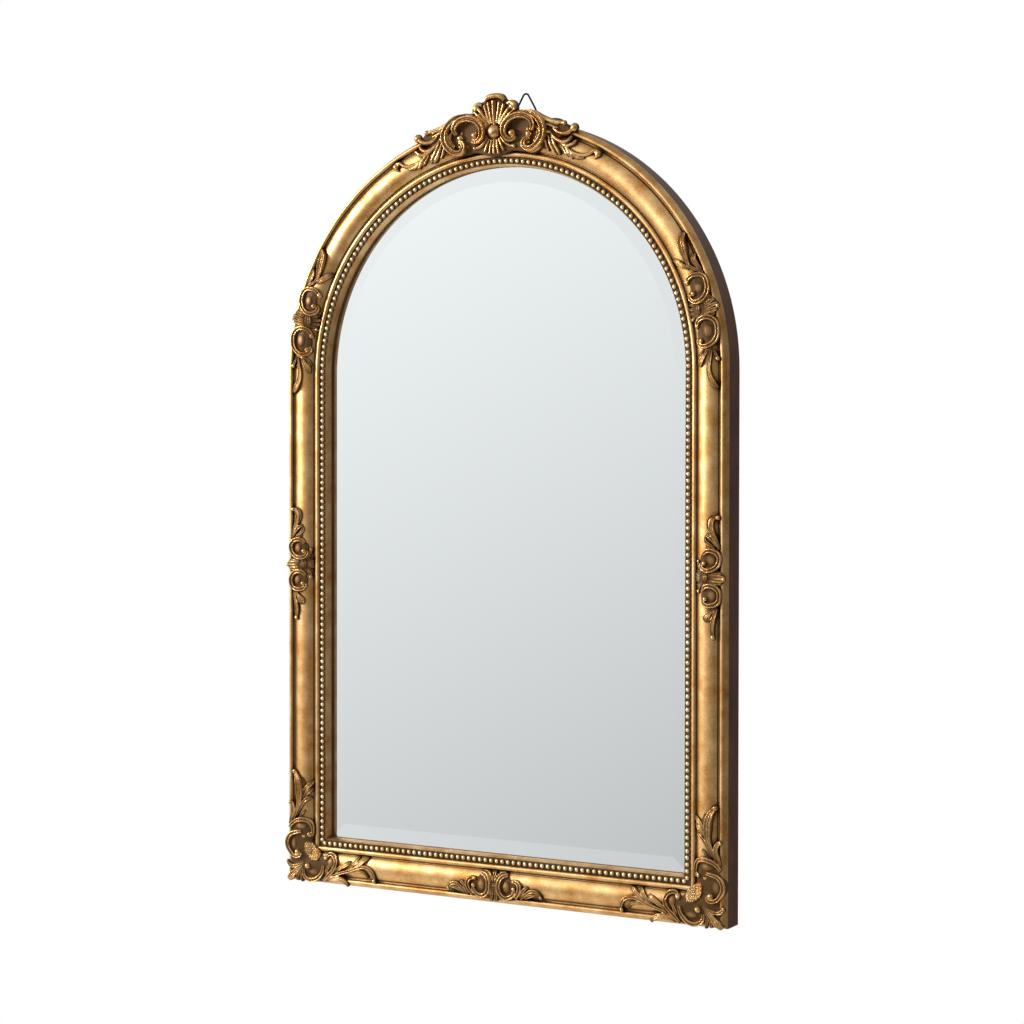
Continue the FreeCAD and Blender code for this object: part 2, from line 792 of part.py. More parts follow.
side_outline_shares = [
    (-0.02, 0.50), (0.05, 0.57), (0.20, 0.60), (0.21, 0.68), (0.18, 0.76), (0.24, 0.85),
    (0.34, 0.92), (0.48, 1.0), (0.58, 0.96), (0.69, 0.90), (0.75, 0.84), (0.73, 0.75),
    (0.80, 0.68), (0.80, 0.60), (0.92, 0.56), (0.97, 0.50),
]
side_upper_scrolls_share = [
    [(0.70, 0.695), (0.52, 0.715), (0.32, 0.665), (0.32, 0.595), (0.50, 0.56), (0.68, 0.585)],
]
side_upper_leaves_share = [
    [(0.43, 0.745), (0.41, 0.855), (0.48, 0.97)],
    [(0.55, 0.745), (0.68, 0.875)],
    [(0.28, 0.73), (0.30, 0.82)],
    [(0.76, 0.53), (0.88, 0.545)],
]
side_collar_share = [[(0.64, 0.536), (0.64, 0.464)]]
side_balls_share = [(0.58, 0.63), (0.58, 0.37), (0.20, 0.55), (0.13, 0.50), (0.20, 0.45)]


def side_ornament():
    mouldings = glue_beds([moulding_side])
    scrolls_share = side_upper_scrolls_share + upside_down(side_upper_scrolls_share)
    leaves_share = side_upper_leaves_share + upside_down(side_upper_leaves_share) + side_collar_share
    pieces = [base_block(side_place, both_ends(side_outline_shares), mouldings)]
    pieces += rods(side_place, scrolls_share, scroll_radius, ornament_low_rise)
    pieces += rods(side_place, leaves_share, leaf_radius, ornament_low_rise)
    pieces += balls(side_place, side_balls_share, ball_radius, ornament_base_rise, mouldings)
    return joined(pieces)


write_pair("side_ornament", side_ornament())


# Corner ornament on the lower left: C-scrolls round a grained panel, a fan of lobes over the
# corner, and leaves up the side and along the rail. In shares of its size from the corner.

def corner_place(across, up, rise):
    x = -outer_radius - corner_overhang + across * corner_size
    return V(x, shoulder_y - rise, bottom_z + up * corner_size)


corner_outline_shares = [
    (0.136, 1.0), (0.19, 0.955), (0.25, 0.93), (0.335, 0.92), (0.345, 0.80), (0.32, 0.70),
    (0.30, 0.62), (0.335, 0.54), (0.335, 0.44), (0.33, 0.36), (0.40, 0.30), (0.505, 0.305),
    (0.585, 0.255), (0.64, 0.21), (0.72, 0.23), (0.805, 0.275), (0.89, 0.28), (0.975, 0.20),
    (0.985, 0.09), (0.92, 0.055), (0.82, 0.09), (0.715, 0.04), (0.63, 0.005), (0.45, 0.01),
    (0.29, 0.005), (0.15, 0.003), (0.035, 0.01), (0.02, 0.085), (0.03, 0.16), (0.0, 0.27),
    (0.007, 0.39), (0.03, 0.50), (0.08, 0.57), (0.03, 0.64), (0.014, 0.70), (0.05, 0.74),
    (0.09, 0.77), (0.085, 0.87), (0.09, 0.98),
]
corner_scrolls_share = [
    [(0.043, 0.485), (0.107, 0.545), (0.18, 0.57), (0.264, 0.555), (0.325, 0.50), (0.33, 0.44)],
    [(0.093, 0.45), (0.043, 0.40), (0.025, 0.32), (0.043, 0.25), (0.10, 0.207), (0.164, 0.22)],
    [(0.193, 0.13), (0.214, 0.065), (0.293, 0.036), (0.37, 0.065), (0.405, 0.143)],
    [(0.41, 0.043), (0.48, 0.10), (0.536, 0.17), (0.55, 0.236), (0.507, 0.28), (0.45, 0.27)],
]
corner_leaves_share = [
    [(0.12, 0.60), (0.143, 0.72), (0.15, 0.86), (0.136, 0.97)],
    [(0.16, 0.61), (0.22, 0.735), (0.31, 0.90)],
    [(0.21, 0.68), (0.31, 0.82)],
    [(0.19, 0.64), (0.29, 0.74)],
    [(0.42, 0.05), (0.52, 0.093), (0.65, 0.136), (0.79, 0.165), (0.89, 0.13), (0.95, 0.075)],
    [(0.60, 0.14), (0.73, 0.20), (0.86, 0.26)],
    [(0.78, 0.17), (0.94, 0.18)],
    [(0.43, 0.043), (0.536, 0.075), (0.614, 0.065), (0.67, 0.03)],
    [(0.16, 0.17), (0.045, 0.155)],
    [(0.19, 0.14), (0.055, 0.036)],
    [(0.19, 0.12), (0.18, 0.025)],
]
corner_balls_share = [
    (0.046, 0.70), (0.286, 0.425), (0.136, 0.257), (0.25, 0.136), (0.45, 0.235),
]
corner_panel_share = [(0.207, 0.30), (0.25, 0.37), (0.378, 0.257), (0.33, 0.18)]


def corner_ornament():
    mouldings = glue_beds([moulding_side, moulding_rail])
    pieces = [base_block(corner_place, corner_outline_shares, mouldings)]
    pieces += rods(corner_place, corner_scrolls_share, scroll_radius, ornament_low_rise)
    pieces += rods(corner_place, corner_leaves_share, leaf_radius, ornament_low_rise)
    pieces += balls(corner_place, corner_balls_share, ball_radius, ornament_base_rise, mouldings)
    panel_corners = [corner_place(across, up, 0) for across, up in corner_panel_share]
    pieces.append(prism([(p.x, p.z) for p in panel_corners], raised_back_y,
                        shoulder_y - ornament_low_rise - leaf_radius))
    return joined(pieces)


write_pair("corner_ornament", corner_ornament())


# Bottom ornament in the middle of the rail: a fan up and a fan down between two C-scrolls.
# Its right half, in shares of the half span and of the height.

def bottom_place(across, up, rise):
    z = bottom_z - bottom_overhang + up * bottom_height
    return V(across * bottom_half_span, shoulder_y - rise, z)


bottom_outline_shares = [
    (0, 1.0), (0.10, 0.96), (0.22, 0.92), (0.33, 0.83), (0.45, 0.78), (0.55, 0.72),
    (0.66, 0.70), (0.80, 0.60), (0.93, 0.52), (1.0, 0.38), (0.92, 0.30), (0.80, 0.28),
    (0.65, 0.20), (0.45, 0.12), (0.25, 0.12), (0.14, 0.04), (0, 0.0),
]
bottom_scrolls_share = [
    [(0.38, 0.74), (0.49, 0.51), (0.42, 0.30), (0.32, 0.22), (0.20, 0.32), (0.155, 0.50),
     (0.20, 0.69), (0.28, 0.76)],
]
bottom_leaves_share = [
    [(0.05, 0.62), (0.10, 0.90)],
    [(0.04, 0.48), (0.09, 0.10)],
    [(0.52, 0.28), (0.65, 0.49), (0.80, 0.51), (0.93, 0.40)],
    [(0.52, 0.34), (0.58, 0.56), (0.66, 0.62)],
]
bottom_middle_leaves_share = [
    [(0, 0.64), (0, 0.92)],
    [(0, 0.46), (0, 0.08)],
]
bottom_balls_share = [(0.34, 0.52)]
bottom_middle_balls_share = [(0, 0.55)]


def bottom_ornament():
    mouldings = glue_beds([moulding_rail])
    side = rods(bottom_place, bottom_scrolls_share, leaf_radius, ornament_low_rise)
    side += rods(bottom_place, bottom_leaves_share, leaf_radius, ornament_low_rise)
    side += balls(bottom_place, bottom_balls_share, ball_radius, ornament_base_rise, mouldings)
    middle = rods(bottom_place, bottom_middle_leaves_share, leaf_radius, ornament_low_rise)
    middle += balls(bottom_place, bottom_middle_balls_share, ball_radius, ornament_base_rise,
                    mouldings)
    base = base_block(bottom_place, both_sides(bottom_outline_shares), mouldings)
    return joined([base] + middle + side + [mirrored(piece) for piece in side])


write("bottom_ornament", bottom_ornament())
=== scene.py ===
import bpy
import math
from mathutils import Matrix, Vector


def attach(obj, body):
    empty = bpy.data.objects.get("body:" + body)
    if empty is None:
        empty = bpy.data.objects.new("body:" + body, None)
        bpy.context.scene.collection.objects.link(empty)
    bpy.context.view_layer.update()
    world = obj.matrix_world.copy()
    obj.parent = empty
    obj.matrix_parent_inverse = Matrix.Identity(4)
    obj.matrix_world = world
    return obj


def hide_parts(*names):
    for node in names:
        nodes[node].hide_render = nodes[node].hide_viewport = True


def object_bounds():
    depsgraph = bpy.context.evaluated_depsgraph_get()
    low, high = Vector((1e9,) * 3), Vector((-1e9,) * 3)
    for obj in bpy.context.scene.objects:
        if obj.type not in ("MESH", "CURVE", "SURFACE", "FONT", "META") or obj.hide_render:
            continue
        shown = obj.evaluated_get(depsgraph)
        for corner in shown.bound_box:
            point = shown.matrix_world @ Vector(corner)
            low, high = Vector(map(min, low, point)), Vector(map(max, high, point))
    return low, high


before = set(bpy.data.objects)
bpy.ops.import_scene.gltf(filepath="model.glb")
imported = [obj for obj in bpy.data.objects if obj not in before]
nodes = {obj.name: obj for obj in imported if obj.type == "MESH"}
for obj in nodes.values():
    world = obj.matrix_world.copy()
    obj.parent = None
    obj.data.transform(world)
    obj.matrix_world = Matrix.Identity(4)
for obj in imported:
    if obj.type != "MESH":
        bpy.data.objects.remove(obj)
cad_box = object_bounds()
mm = 0.001  # one millimetre in metres

# Carcass
# Five pieces of hardwood with a rebate behind the opening. The outside was brushed with a thin
# dark brown stain, so that the grain still shows a little.

carcass_stain_dark = "#3B2013"
carcass_stain_light = "#6E462D"
carcass_grain_width = 1.4 * mm
carcass_grain_length = 60 * mm
carcass_roughness = 0.5
blotch_size = 35 * mm
grain_share = 0.55
blotch_share = 0.45


def linear(hex_colour):
    """An sRGB hex colour as the linear numbers that the shaders take."""
    parts = [int(hex_colour[i:i + 2], 16) / 255 for i in (1, 3, 5)]
    return [p / 12.92 if p <= 0.04045 else ((p + 0.055) / 1.055) ** 2.4 for p in parts] + [1.0]


def add_node(tree, kind, values, links, **settings):
    """Adds one node. Values and links go by the names or the numbers of its inputs."""
    node = tree.nodes.new("ShaderNode" + kind)
    for name, setting in settings.items():
        setattr(node, name, setting)
    for name, value in values.items():
        node.inputs[name].default_value = value
    for name, output in links.items():
        tree.links.new(output, node.inputs[name])
    return node


def new_finish(name):
    """A material with its tree and its surface shader."""
    material = bpy.data.materials.new(name)
    material.use_nodes = True
    tree = material.node_tree
    return material, tree, tree.nodes["Principled BSDF"]


def finish_nodes(material, *names):
    """Gives the CAD nodes of these names the one material."""
    for name in names:
        mesh = nodes[name].data
        mesh.materials.clear()
        mesh.materials.append(material)


def grained_wood(name, dark, light, grain_width, grain_length, roughness):
    """Wood with grain along Z, drawn as noise that is stretched along the grain."""
    material, tree, surface = new_finish(name)
    place = add_node(tree, "TexCoord", {}, {}).outputs["Object"]
    stretch = (1 / grain_width, 1 / grain_width, 1 / grain_length)
    along = add_node(tree, "Mapping", {"Scale": stretch}, {"Vector": place})
    grain = add_node(tree, "TexNoise", {"Scale": 1.0, "Detail": 5.0, "Roughness": 0.6},
                     {"Vector": along.outputs["Vector"]})
    blotches = add_node(tree, "TexNoise", {"Scale": 1 / blotch_size, "Detail": 3.0}, {"Vector": place})
    both = add_node(tree, "Math", {1: grain_share}, {0: grain.outputs["Fac"]}, operation="MULTIPLY")
    both = add_node(tree, "Math", {1: blotch_share},
                    {0: blotches.outputs["Fac"], 2: both.outputs[0]}, operation="MULTIPLY_ADD")
    spread = add_node(tree, "MapRange", {"From Min": 0.32, "From Max": 0.68},
                      {"Value": both.outputs[0]})
    colour = add_node(tree, "Mix", {6: linear(dark), 7: linear(light)},
                      {0: spread.outputs["Result"]}, data_type="RGBA")
    bump = add_node(tree, "Bump", {"Strength": 0.35, "Distance": 0.15 * mm},
                    {"Height": grain.outputs["Fac"]})
    surface.inputs["Specular IOR Level"].default_value = 0.25
    shine = add_node(tree, "MapRange", {"To Min": roughness - 0.08, "To Max": roughness + 0.1},
                     {"Value": grain.outputs["Fac"]})
    tree.links.new(colour.outputs[2], surface.inputs["Base Color"])
    tree.links.new(shine.outputs["Result"], surface.inputs["Roughness"])
    tree.links.new(bump.outputs["Normal"], surface.inputs["Normal"])
    return material


# Stained beech: dark brown, satin, with fine grain lines
stained_wood = grained_wood("stained_beech_satin", carcass_stain_dark, carcass_stain_light,
                            carcass_grain_width, carcass_grain_length, carcass_roughness)
finish_nodes(stained_wood, "carcass_stile_left", "carcass_stile_right", "carcass_arch_left",
             "carcass_arch_right", "carcass_bottom_rail")

# Dowels
# Plain beech dowels glued into the carcass joints, pale and unfinished. They are hidden in the
# wood and show only when the carcass is taken apart.

dowel_shade = "#C49A6A"
dowel_light = "#DDB98B"
dowel_grain_width = 0.8 * mm
dowel_grain_length = 30 * mm
dowel_roughness = 0.7

# Bare beech: pale, dry, open pores
bare_wood = grained_wood("bare_beech", dowel_shade, dowel_light, dowel_grain_width,
                         dowel_grain_length, dowel_roughness)
finish_nodes(bare_wood, "joint_dowels")

# Mirror glass
# A float glass plate, silvered behind, with a wide ground and polished bevel round its edge.
# The bevel looks nearly as bright as the flat glass, so its slope counts only in part.

glass_tint = "#F9FEFF"
bevel_bend = (0.05, 1.0, -0.45)  # what the slope's parts along X, Y and Z are multiplied by


def silvered_glass():
    """A mirror whose bevel shows nearly what the flat glass does, and is a touch brighter below."""
    material, tree, surface = new_finish("silvered_glass")
    surface.inputs["Base Color"].default_value = linear(glass_tint)
    surface.inputs["Metallic"].default_value = 1.0
    surface.inputs["Roughness"].default_value = 0.0
    normal = add_node(tree, "NewGeometry", {}, {}).outputs["Normal"]
    bent = add_node(tree, "VectorMath", {1: bevel_bend}, {0: normal}, operation="MULTIPLY")
    bent = add_node(tree, "VectorMath", {}, {0: bent.outputs[0]}, operation="NORMALIZE")
    tree.links.new(bent.outputs[0], surface.inputs["Normal"])
    return material


finish_nodes(silvered_glass(), "mirror_plate")

# Behind the glass
# Grey card against the silvering, a hardboard back, and two rubber blocks under the glass.

board_cloud_size = 60 * mm
fleck_share = 0.6
cloud_share = 0.4


def pressed_board(name, dark, light, fibre, roughness, bump_depth):
    """Card or hardboard: flecks of fibre with a fine tooth."""
    material, tree, surface = new_finish(name)
    place = add_node(tree, "TexCoord", {}, {}).outputs["Object"]
    flecks = add_node(tree, "TexNoise", {"Scale": 1 / fibre, "Detail": 6.0, "Roughness": 0.7},
                      {"Vector": place})
    clouds = add_node(tree, "TexNoise", {"Scale": 1 / board_cloud_size, "Detail": 2.0},
                      {"Vector": place})
    both = add_node(tree, "Math", {1: fleck_share}, {0: flecks.outputs["Fac"]}, operation="MULTIPLY")
    both = add_node(tree, "Math", {1: cloud_share}, {0: clouds.outputs["Fac"], 2: both.outputs[0]},
                    operation="MULTIPLY_ADD")
    spread = add_node(tree, "MapRange", {"From Min": 0.4, "From Max": 0.6},
                      {"Value": both.outputs[0]})
    colour = add_node(tree, "Mix", {6: linear(dark), 7: linear(light)},
                      {0: spread.outputs["Result"]}, data_type="RGBA")
    bump = add_node(tree, "Bump", {"Strength": 0.4, "Distance": bump_depth},
                    {"Height": flecks.outputs["Fac"]})
    surface.inputs["Roughness"].default_value = roughness
    tree.links.new(colour.outputs[2], surface.inputs["Base Color"])
    tree.links.new(bump.outputs["Normal"], surface.inputs["Normal"])
    return material


# Grey card: dull, with paper fibres
grey_card = pressed_board("grey_card", "#8B8B88", "#A3A29E", fibre=0.7 * mm, roughness=0.9,
                          bump_depth=0.05 * mm)
finish_nodes(grey_card, "glass_cushion")

# Hardboard: mid brown, smooth face with darker flecks
hardboard = pressed_board("hardboard", "#6B4A2F", "#8A6541", fibre=1.6 * mm, roughness=0.55,
                          bump_depth=0.08 * mm)
finish_nodes(hardboard, "back_board")

# Black rubber: dull and slightly speckled
black_rubber = pressed_board("black_rubber", "#1B1B1B", "#262626", fibre=0.5 * mm, roughness=0.75,
                             bump_depth=0.03 * mm)
finish_nodes(black_rubber, "setting_blocks")

# Gilt moulding
# Limewood moulding with a gesso ground, gilded and burnished. A brown glaze was wiped over it and
# stays in the quirks, where the same brown is also painted shade, and its high places are rubbed bright.

gilt_bright = "#F4CD91"
gilt_shade = "#BA7B33"
# the browns of the glaze, which also serve as painted shade in quirks and hollows
glaze_and_shade_dark = "#1C0C03"
glaze_and_shade_light = "#4A2C0E"
cloud_size = 22 * mm
stroke_size = 1.1 * mm
speck_size = 0.9 * mm
quirk_reach = 7 * mm  # recesses up to this width hold glaze and painted shade


def low_glaze_and_shade(tree, place, strokes, ground, top, base_y):
    """How much glaze and painted shade stays for lying low: all at ground, none at top, ragged between.
    """
    if base_y is None:
        height = add_node(tree, "Attribute", {}, {}, attribute_name="relief").outputs["Fac"]
    else:
        sides = add_node(tree, "SeparateXYZ", {}, {"Vector": place})
        height = add_node(tree, "Math", {0: base_y}, {1: sides.outputs["Y"]},
                          operation="SUBTRACT").outputs[0]
    low = add_node(tree, "MapRange", {"From Min": top, "From Max": ground}, {"Value": height})
    ragged = add_node(tree, "Math", {1: 0.7},
                      {0: strokes.outputs["Fac"], 2: low.outputs["Result"]},
                      operation="MULTIPLY_ADD")
    return add_node(tree, "MapRange", {"From Min": 0.55, "From Max": 1.35, "To Max": 0.92},
                    {"Value": ragged.outputs[0]}, interpolation_type="SMOOTHSTEP")


def gilding(name, reach, wear_and_shade_level, roughness, ground=None, top=None, base_y=None,
            shade=gilt_shade, bright=gilt_bright):
    """Gilding with a brown in every recess that is narrower than reach: glaze and painted shade
    together.

    With ground and top this brown also stays on what lies low. Heights are those in front of
    base_y, or without base_y those in the piece's attribute "relief".
    """
    material, tree, surface = new_finish(name)
    place = add_node(tree, "TexCoord", {}, {}).outputs["Object"]
    clouds = add_node(tree, "TexNoise", {"Scale": 1 / cloud_size, "Detail": 4.0, "Roughness": 0.55},
                      {"Vector": place})
    strokes = add_node(tree, "TexNoise", {"Scale": 1 / stroke_size, "Detail": 4.0, "Roughness": 0.65},
                       {"Vector": place})
    specks = add_node(tree, "TexNoise", {"Scale": 1 / speck_size, "Detail": 1.0}, {"Vector": place})
    # ambient occlusion finds the recesses, which get painted shade
    depth = add_node(tree, "AmbientOcclusion", {"Distance": reach}, {}, samples=6)
    # the glaze and painted shade: in recesses found by ambient occlusion, broken up by clouds and
    # strokes
    uneven = add_node(tree, "Math", {1: 0.14}, {0: clouds.outputs["Fac"]}, operation="MULTIPLY")
    uneven = add_node(tree, "Math", {1: 0.34}, {0: strokes.outputs["Fac"], 2: uneven.outputs[0]},
                      operation="MULTIPLY_ADD")
    level = add_node(tree, "Math", {}, {0: depth.outputs["AO"], 1: uneven.outputs[0]},
                     operation="SUBTRACT")
    glaze_and_shade_mask = add_node(tree, "MapRange", {"From Min": wear_and_shade_level - 0.30, "From Max": wear_and_shade_level,
                                        "To Min": 1.0, "To Max": 0.0},
                     {"Value": level.outputs[0]}, interpolation_type="SMOOTHSTEP")
    # dark specks, flicked on with a brush
    speck = add_node(tree, "MapRange", {"From Min": 0.66, "From Max": 0.74},
                     {"Value": specks.outputs["Fac"]})
    covered = add_node(tree, "Math", {1: 0.7}, {0: speck.outputs["Result"]}, operation="MULTIPLY")
    covered = add_node(tree, "Math", {}, {0: glaze_and_shade_mask.outputs["Result"], 1: covered.outputs[0]},
                       operation="MAXIMUM")
    if ground is not None:
        kept = low_glaze_and_shade(tree, place, strokes, ground, top, base_y)
        covered = add_node(tree, "Math", {}, {0: covered.outputs[0], 1: kept.outputs["Result"]},
                           operation="MAXIMUM")
    # the gold itself, a little uneven
    tone = add_node(tree, "Math", {1: 0.5}, {0: clouds.outputs["Fac"]}, operation="MULTIPLY")
    tone = add_node(tree, "Math", {1: 0.5}, {0: strokes.outputs["Fac"], 2: tone.outputs[0]},
                    operation="MULTIPLY_ADD")
    tone = add_node(tree, "MapRange", {"From Min": 0.36, "From Max": 0.64},
                    {"Value": tone.outputs[0]})
    leaf = add_node(tree, "Mix", {6: linear(shade), 7: linear(bright)},
                    {0: tone.outputs["Result"]}, data_type="RGBA")
    # the brown of the glaze, which also stands for painted shade in recesses
    brown = add_node(tree, "Mix", {6: linear(glaze_and_shade_dark), 7: linear(glaze_and_shade_light)},
                     {0: strokes.outputs["Fac"]}, data_type="RGBA")
    colour = add_node(tree, "Mix", {},
                      {0: covered.outputs[0], 6: leaf.outputs[2], 7: brown.outputs[2]},
                      data_type="RGBA")
    metal = add_node(tree, "MapRange", {"To Min": 1.0, "To Max": 0.3}, {"Value": covered.outputs[0]})
    shine = add_node(tree, "MapRange", {"To Min": roughness, "To Max": roughness + 0.25},
                     {"Value": covered.outputs[0]})
    rough = add_node(tree, "Math", {1: 0.14}, {0: strokes.outputs["Fac"], 2: shine.outputs["Result"]},
                     operation="MULTIPLY_ADD")
    bump = add_node(tree, "Bump", {"Strength": 0.35, "Distance": 0.12 * mm},
                    {"Height": strokes.outputs["Fac"]})
    surface.inputs["Specular IOR Level"].default_value = 0.15
    tree.links.new(colour.outputs[2], surface.inputs["Base Color"])
    tree.links.new(metal.outputs["Result"], surface.inputs["Metallic"])
    tree.links.new(rough.outputs[0], surface.inputs["Roughness"])
    tree.links.new(bump.outputs["Normal"], surface.inputs["Normal"])
    return material


# Burnished gilding: bright satin gold with a brown in the quirks that is glaze and painted shade
gilt_moulding = gilding("gilded_wood_burnished", quirk_reach, wear_and_shade_level=0.60, roughness=0.33)
finish_nodes(gilt_moulding, "moulding_left", "moulding_right", "moulding_arch_left",
             "moulding_arch_right", "moulding_bottom")

# Rows of pearls
# Each row is one moulded strip of half-round pearls, glued into the channel and gilded.

shoulder_y = -33 * mm  # front of the carcass, where the moulding is glued on
channel_rise = 2.0 * mm  # up to here the brown of glaze and painted shade is kept
pearl_rise = 3.0 * mm  # from here on the pearls are bare gold
pearl_reach = 2.4 * mm
pearl_shade = "#DFB273"
pearl_bright = "#FFE9BE"

# Gilded composition: the pearls are rubbed bright, the channel stays brown with glaze and painted shade
gilt_pearls = gilding("gilded_pearls", pearl_reach, wear_and_shade_level=0.38, roughness=0.40,
                      ground=channel_rise, top=pearl_rise, base_y=shoulder_y,
                      shade=pearl_shade, bright=pearl_bright)
finish_nodes(gilt_pearls, "pearl_strip_left", "pearl_strip_right", "pearl_strip_arch_left",
             "pearl_strip_arch_right", "pearl_strip_bottom")

# Crest
# Cast composition ornament in one piece: a palmette over a ball, two C-scrolls on each side, and
# leaf sprays that lie on the arch. It is gilded with the frame, and its hollows and low ground are
# dark brown, glaze and painted shade together.

# on the castings, glaze and painted shade cover what lies low and fade out towards the top
casting_ground = 0.3 * mm
casting_top = 3.1 * mm
casting_reach = 5 * mm

# Gilded composition: bright on the rims, dark brown glaze and painted shade in the hollows
gilt_ornament = gilding("gilded_composition", casting_reach, wear_and_shade_level=0.60, roughness=0.24,
                        ground=casting_ground, top=casting_top)

# From here on castings are drawn flat and in millimetres: across, up, and rise towards the viewer.
# A foot is where across and up are 0 on the mirror's face.
crest_foot = (0.0, -82.8)
crest_ground = 8.6
crest_back = 0.2
crest_voxel = 0.5
crest_ball = (0, 36, 8.6, crest_ground, 0.95)  # across, up, radius, rise of the middle, flatness
plate_edge = 1.2

# Right halves of the sections that the carver's lines are swept with: sideways and up, from the
# foot to the middle. The rim, the band and the blade have a groove down the middle, and the frond
# has one on each side of a rib.
section_halves = {
    "rim": [(5, -6), (4.8, 1.5), (4.3, 5), (3.4, 7.8), (2.5, 8.6), (1.7, 7.8), (0.8, 6.2), (0, 5.8)],
    "leaf": [(3.2, -6), (2.8, 0), (2, 2), (1, 3.5), (0, 4)],
    "lip": [(4.2, -6), (3.9, 0), (3.2, 2.6), (1.9, 4.4), (0, 5)],
    "band": [(3.2, -6.5), (3.1, 0.6), (2.8, 3.2), (2.2, 4.5), (1.5, 4.5), (0.8, 3.3), (0, 2.2)],
    "blade": [(2.8, -6.5), (2.7, 0.4), (2.2, 2.6), (1.5, 3.6), (0.7, 2.7), (0, 1.5)],
    "frond": [(5, -6.5), (4.8, 1.4), (4.2, 4.8), (3.4, 6), (2.4, 4.2), (1.3, 3.4), (0, 4.7)],
}
line_steps = 7
outline_steps = 4


def whole_outline(half):
    """An outline from its right half, which starts or ends in the middle."""
    return half + [(-across, up) for across, up in reversed(half) if across > 0]


def section(name, half):
    """A closed flat outline that a curve can be swept with."""
    corners = whole_outline(half)
    curve = bpy.data.curves.new(name + "_section", "CURVE")
    curve.dimensions = "2D"
    spline = curve.splines.new("POLY")
    spline.points.add(len(corners) - 1)
    for point, (x, y) in zip(spline.points, corners):
        point.co = (x * mm, y * mm, 0.0, 1.0)
    spline.use_cyclic_u = True
    made = bpy.data.objects.new(name + "_section", curve)
    bpy.context.collection.objects.link(made)
    return made


sections = {name: section(name, half) for name, half in section_halves.items()}


def as_mesh(made):
    """The object alone, selected and made a mesh."""
    bpy.ops.object.select_all(action="DESELECT")
    made.select_set(True)
    bpy.context.view_layer.objects.active = made
    bpy.ops.object.convert(target="MESH")
    return bpy.context.view_layer.objects.active


def swept(kind, lines, rise):
    """Lines of (across, up, size), each swept with the section of that kind."""
    curve = bpy.data.curves.new(kind, "CURVE")
    curve.dimensions = "3D"
    curve.twist_mode = "Z_UP"
    curve.bevel_mode = "OBJECT"
    curve.bevel_object = sections[kind]
    curve.use_fill_caps = True
    curve.resolution_u = line_steps
    for line in lines:
        spline = curve.splines.new("BEZIER")
        spline.bezier_points.add(len(line) - 1)
        for point, (across, up, size) in zip(spline.bezier_points, line):
            point.co = (across * mm, up * mm, rise * mm)
            point.radius = size
            point.handle_left_type = "AUTO"
            point.handle_right_type = "AUTO"
    made = bpy.data.objects.new(kind, curve)
    bpy.context.collection.objects.link(made)
    return as_mesh(made)


def plate(outline, back, front):
    """A flat plate with a rounded edge, between two heights."""
    curve = bpy.data.curves.new("plate", "CURVE")
    curve.dimensions = "2D"
    curve.fill_mode = "BOTH"
    curve.extrude = ((front - back) / 2 - plate_edge) * mm
    curve.bevel_depth = plate_edge * mm
    curve.bevel_resolution = 2
    curve.offset = -plate_edge * mm
    curve.resolution_u = outline_steps
    spline = curve.splines.new("BEZIER")
    spline.bezier_points.add(len(outline) - 1)
    for point, (across, up) in zip(spline.bezier_points, outline):
        point.co = (across * mm, up * mm, 0.0)
        point.handle_left_type = "AUTO"
        point.handle_right_type = "AUTO"
    spline.use_cyclic_u = True
    made = bpy.data.objects.new("plate", curve)
    made.location.z = (front + back) / 2 * mm
    bpy.context.collection.objects.link(made)
    return as_mesh(made)


def knob(across, up, radius, rise, flat=1.0):
    """A ball, or with flat under 1 a flattened one, whose middle is at that rise."""
    bpy.ops.object.select_all(action="DESELECT")
    bpy.ops.mesh.primitive_uv_sphere_add(segments=24, ring_count=14, radius=radius * mm,
                                         location=(across * mm, up * mm, rise * mm))
    made = bpy.context.object
    made.scale.z = flat
    return made


def mound(across, up, half_width, half_height, top_rise):
    """A low oval swelling that fills the ground between the lines."""
    made = knob(across, up, half_width, 0.0)
    made.scale = (1.0, half_height / half_width, top_rise / half_width)
    return made


def mirror_lines(lines):
    """The same lines on the other side of the middle."""
    return [[(-across, up, size) for across, up, size in line] for line in lines]


def mirror_spots(spots):
    """The same knobs or mounds on the other side of the middle."""
    return [(-spot[0],) + spot[1:] for spot in spots]


# The mirror's outer edge
outer_radius = 300.0
spring_z = -331.2
bottom_z = -963.7
# The moulding's face with its quirks filled: how far in from the outer edge, height over shoulder_y
face_heights = [
    (-40, 7.4), (5, 7.4), (10, 6.9), (14, 7.6), (21, 8.2), (28, 7.2), (33, 5.4), (37, 3.2),
    (42, 3.6), (46, 1.5), (60, 0.3),
]


def edge_distance(x, z):
    """How far a spot on the mirror's face lies in from the outer edge."""
    if z > spring_z:
        return outer_radius - math.hypot(x, z - spring_z)
    return min(outer_radius - abs(x), z - bottom_z)


def face_height(distance):
    """The height of the moulding's face at that distance from its outer edge."""
    for (near, near_height), (far, far_height) in zip(face_heights, face_heights[1:]):
        if distance < far:
            return near_height + (far_height - near_height) * (distance - near) / (far - near)
    return face_heights[-1][1]


triangle_limit = 185000
softening = 0.5
softening_rounds = 3


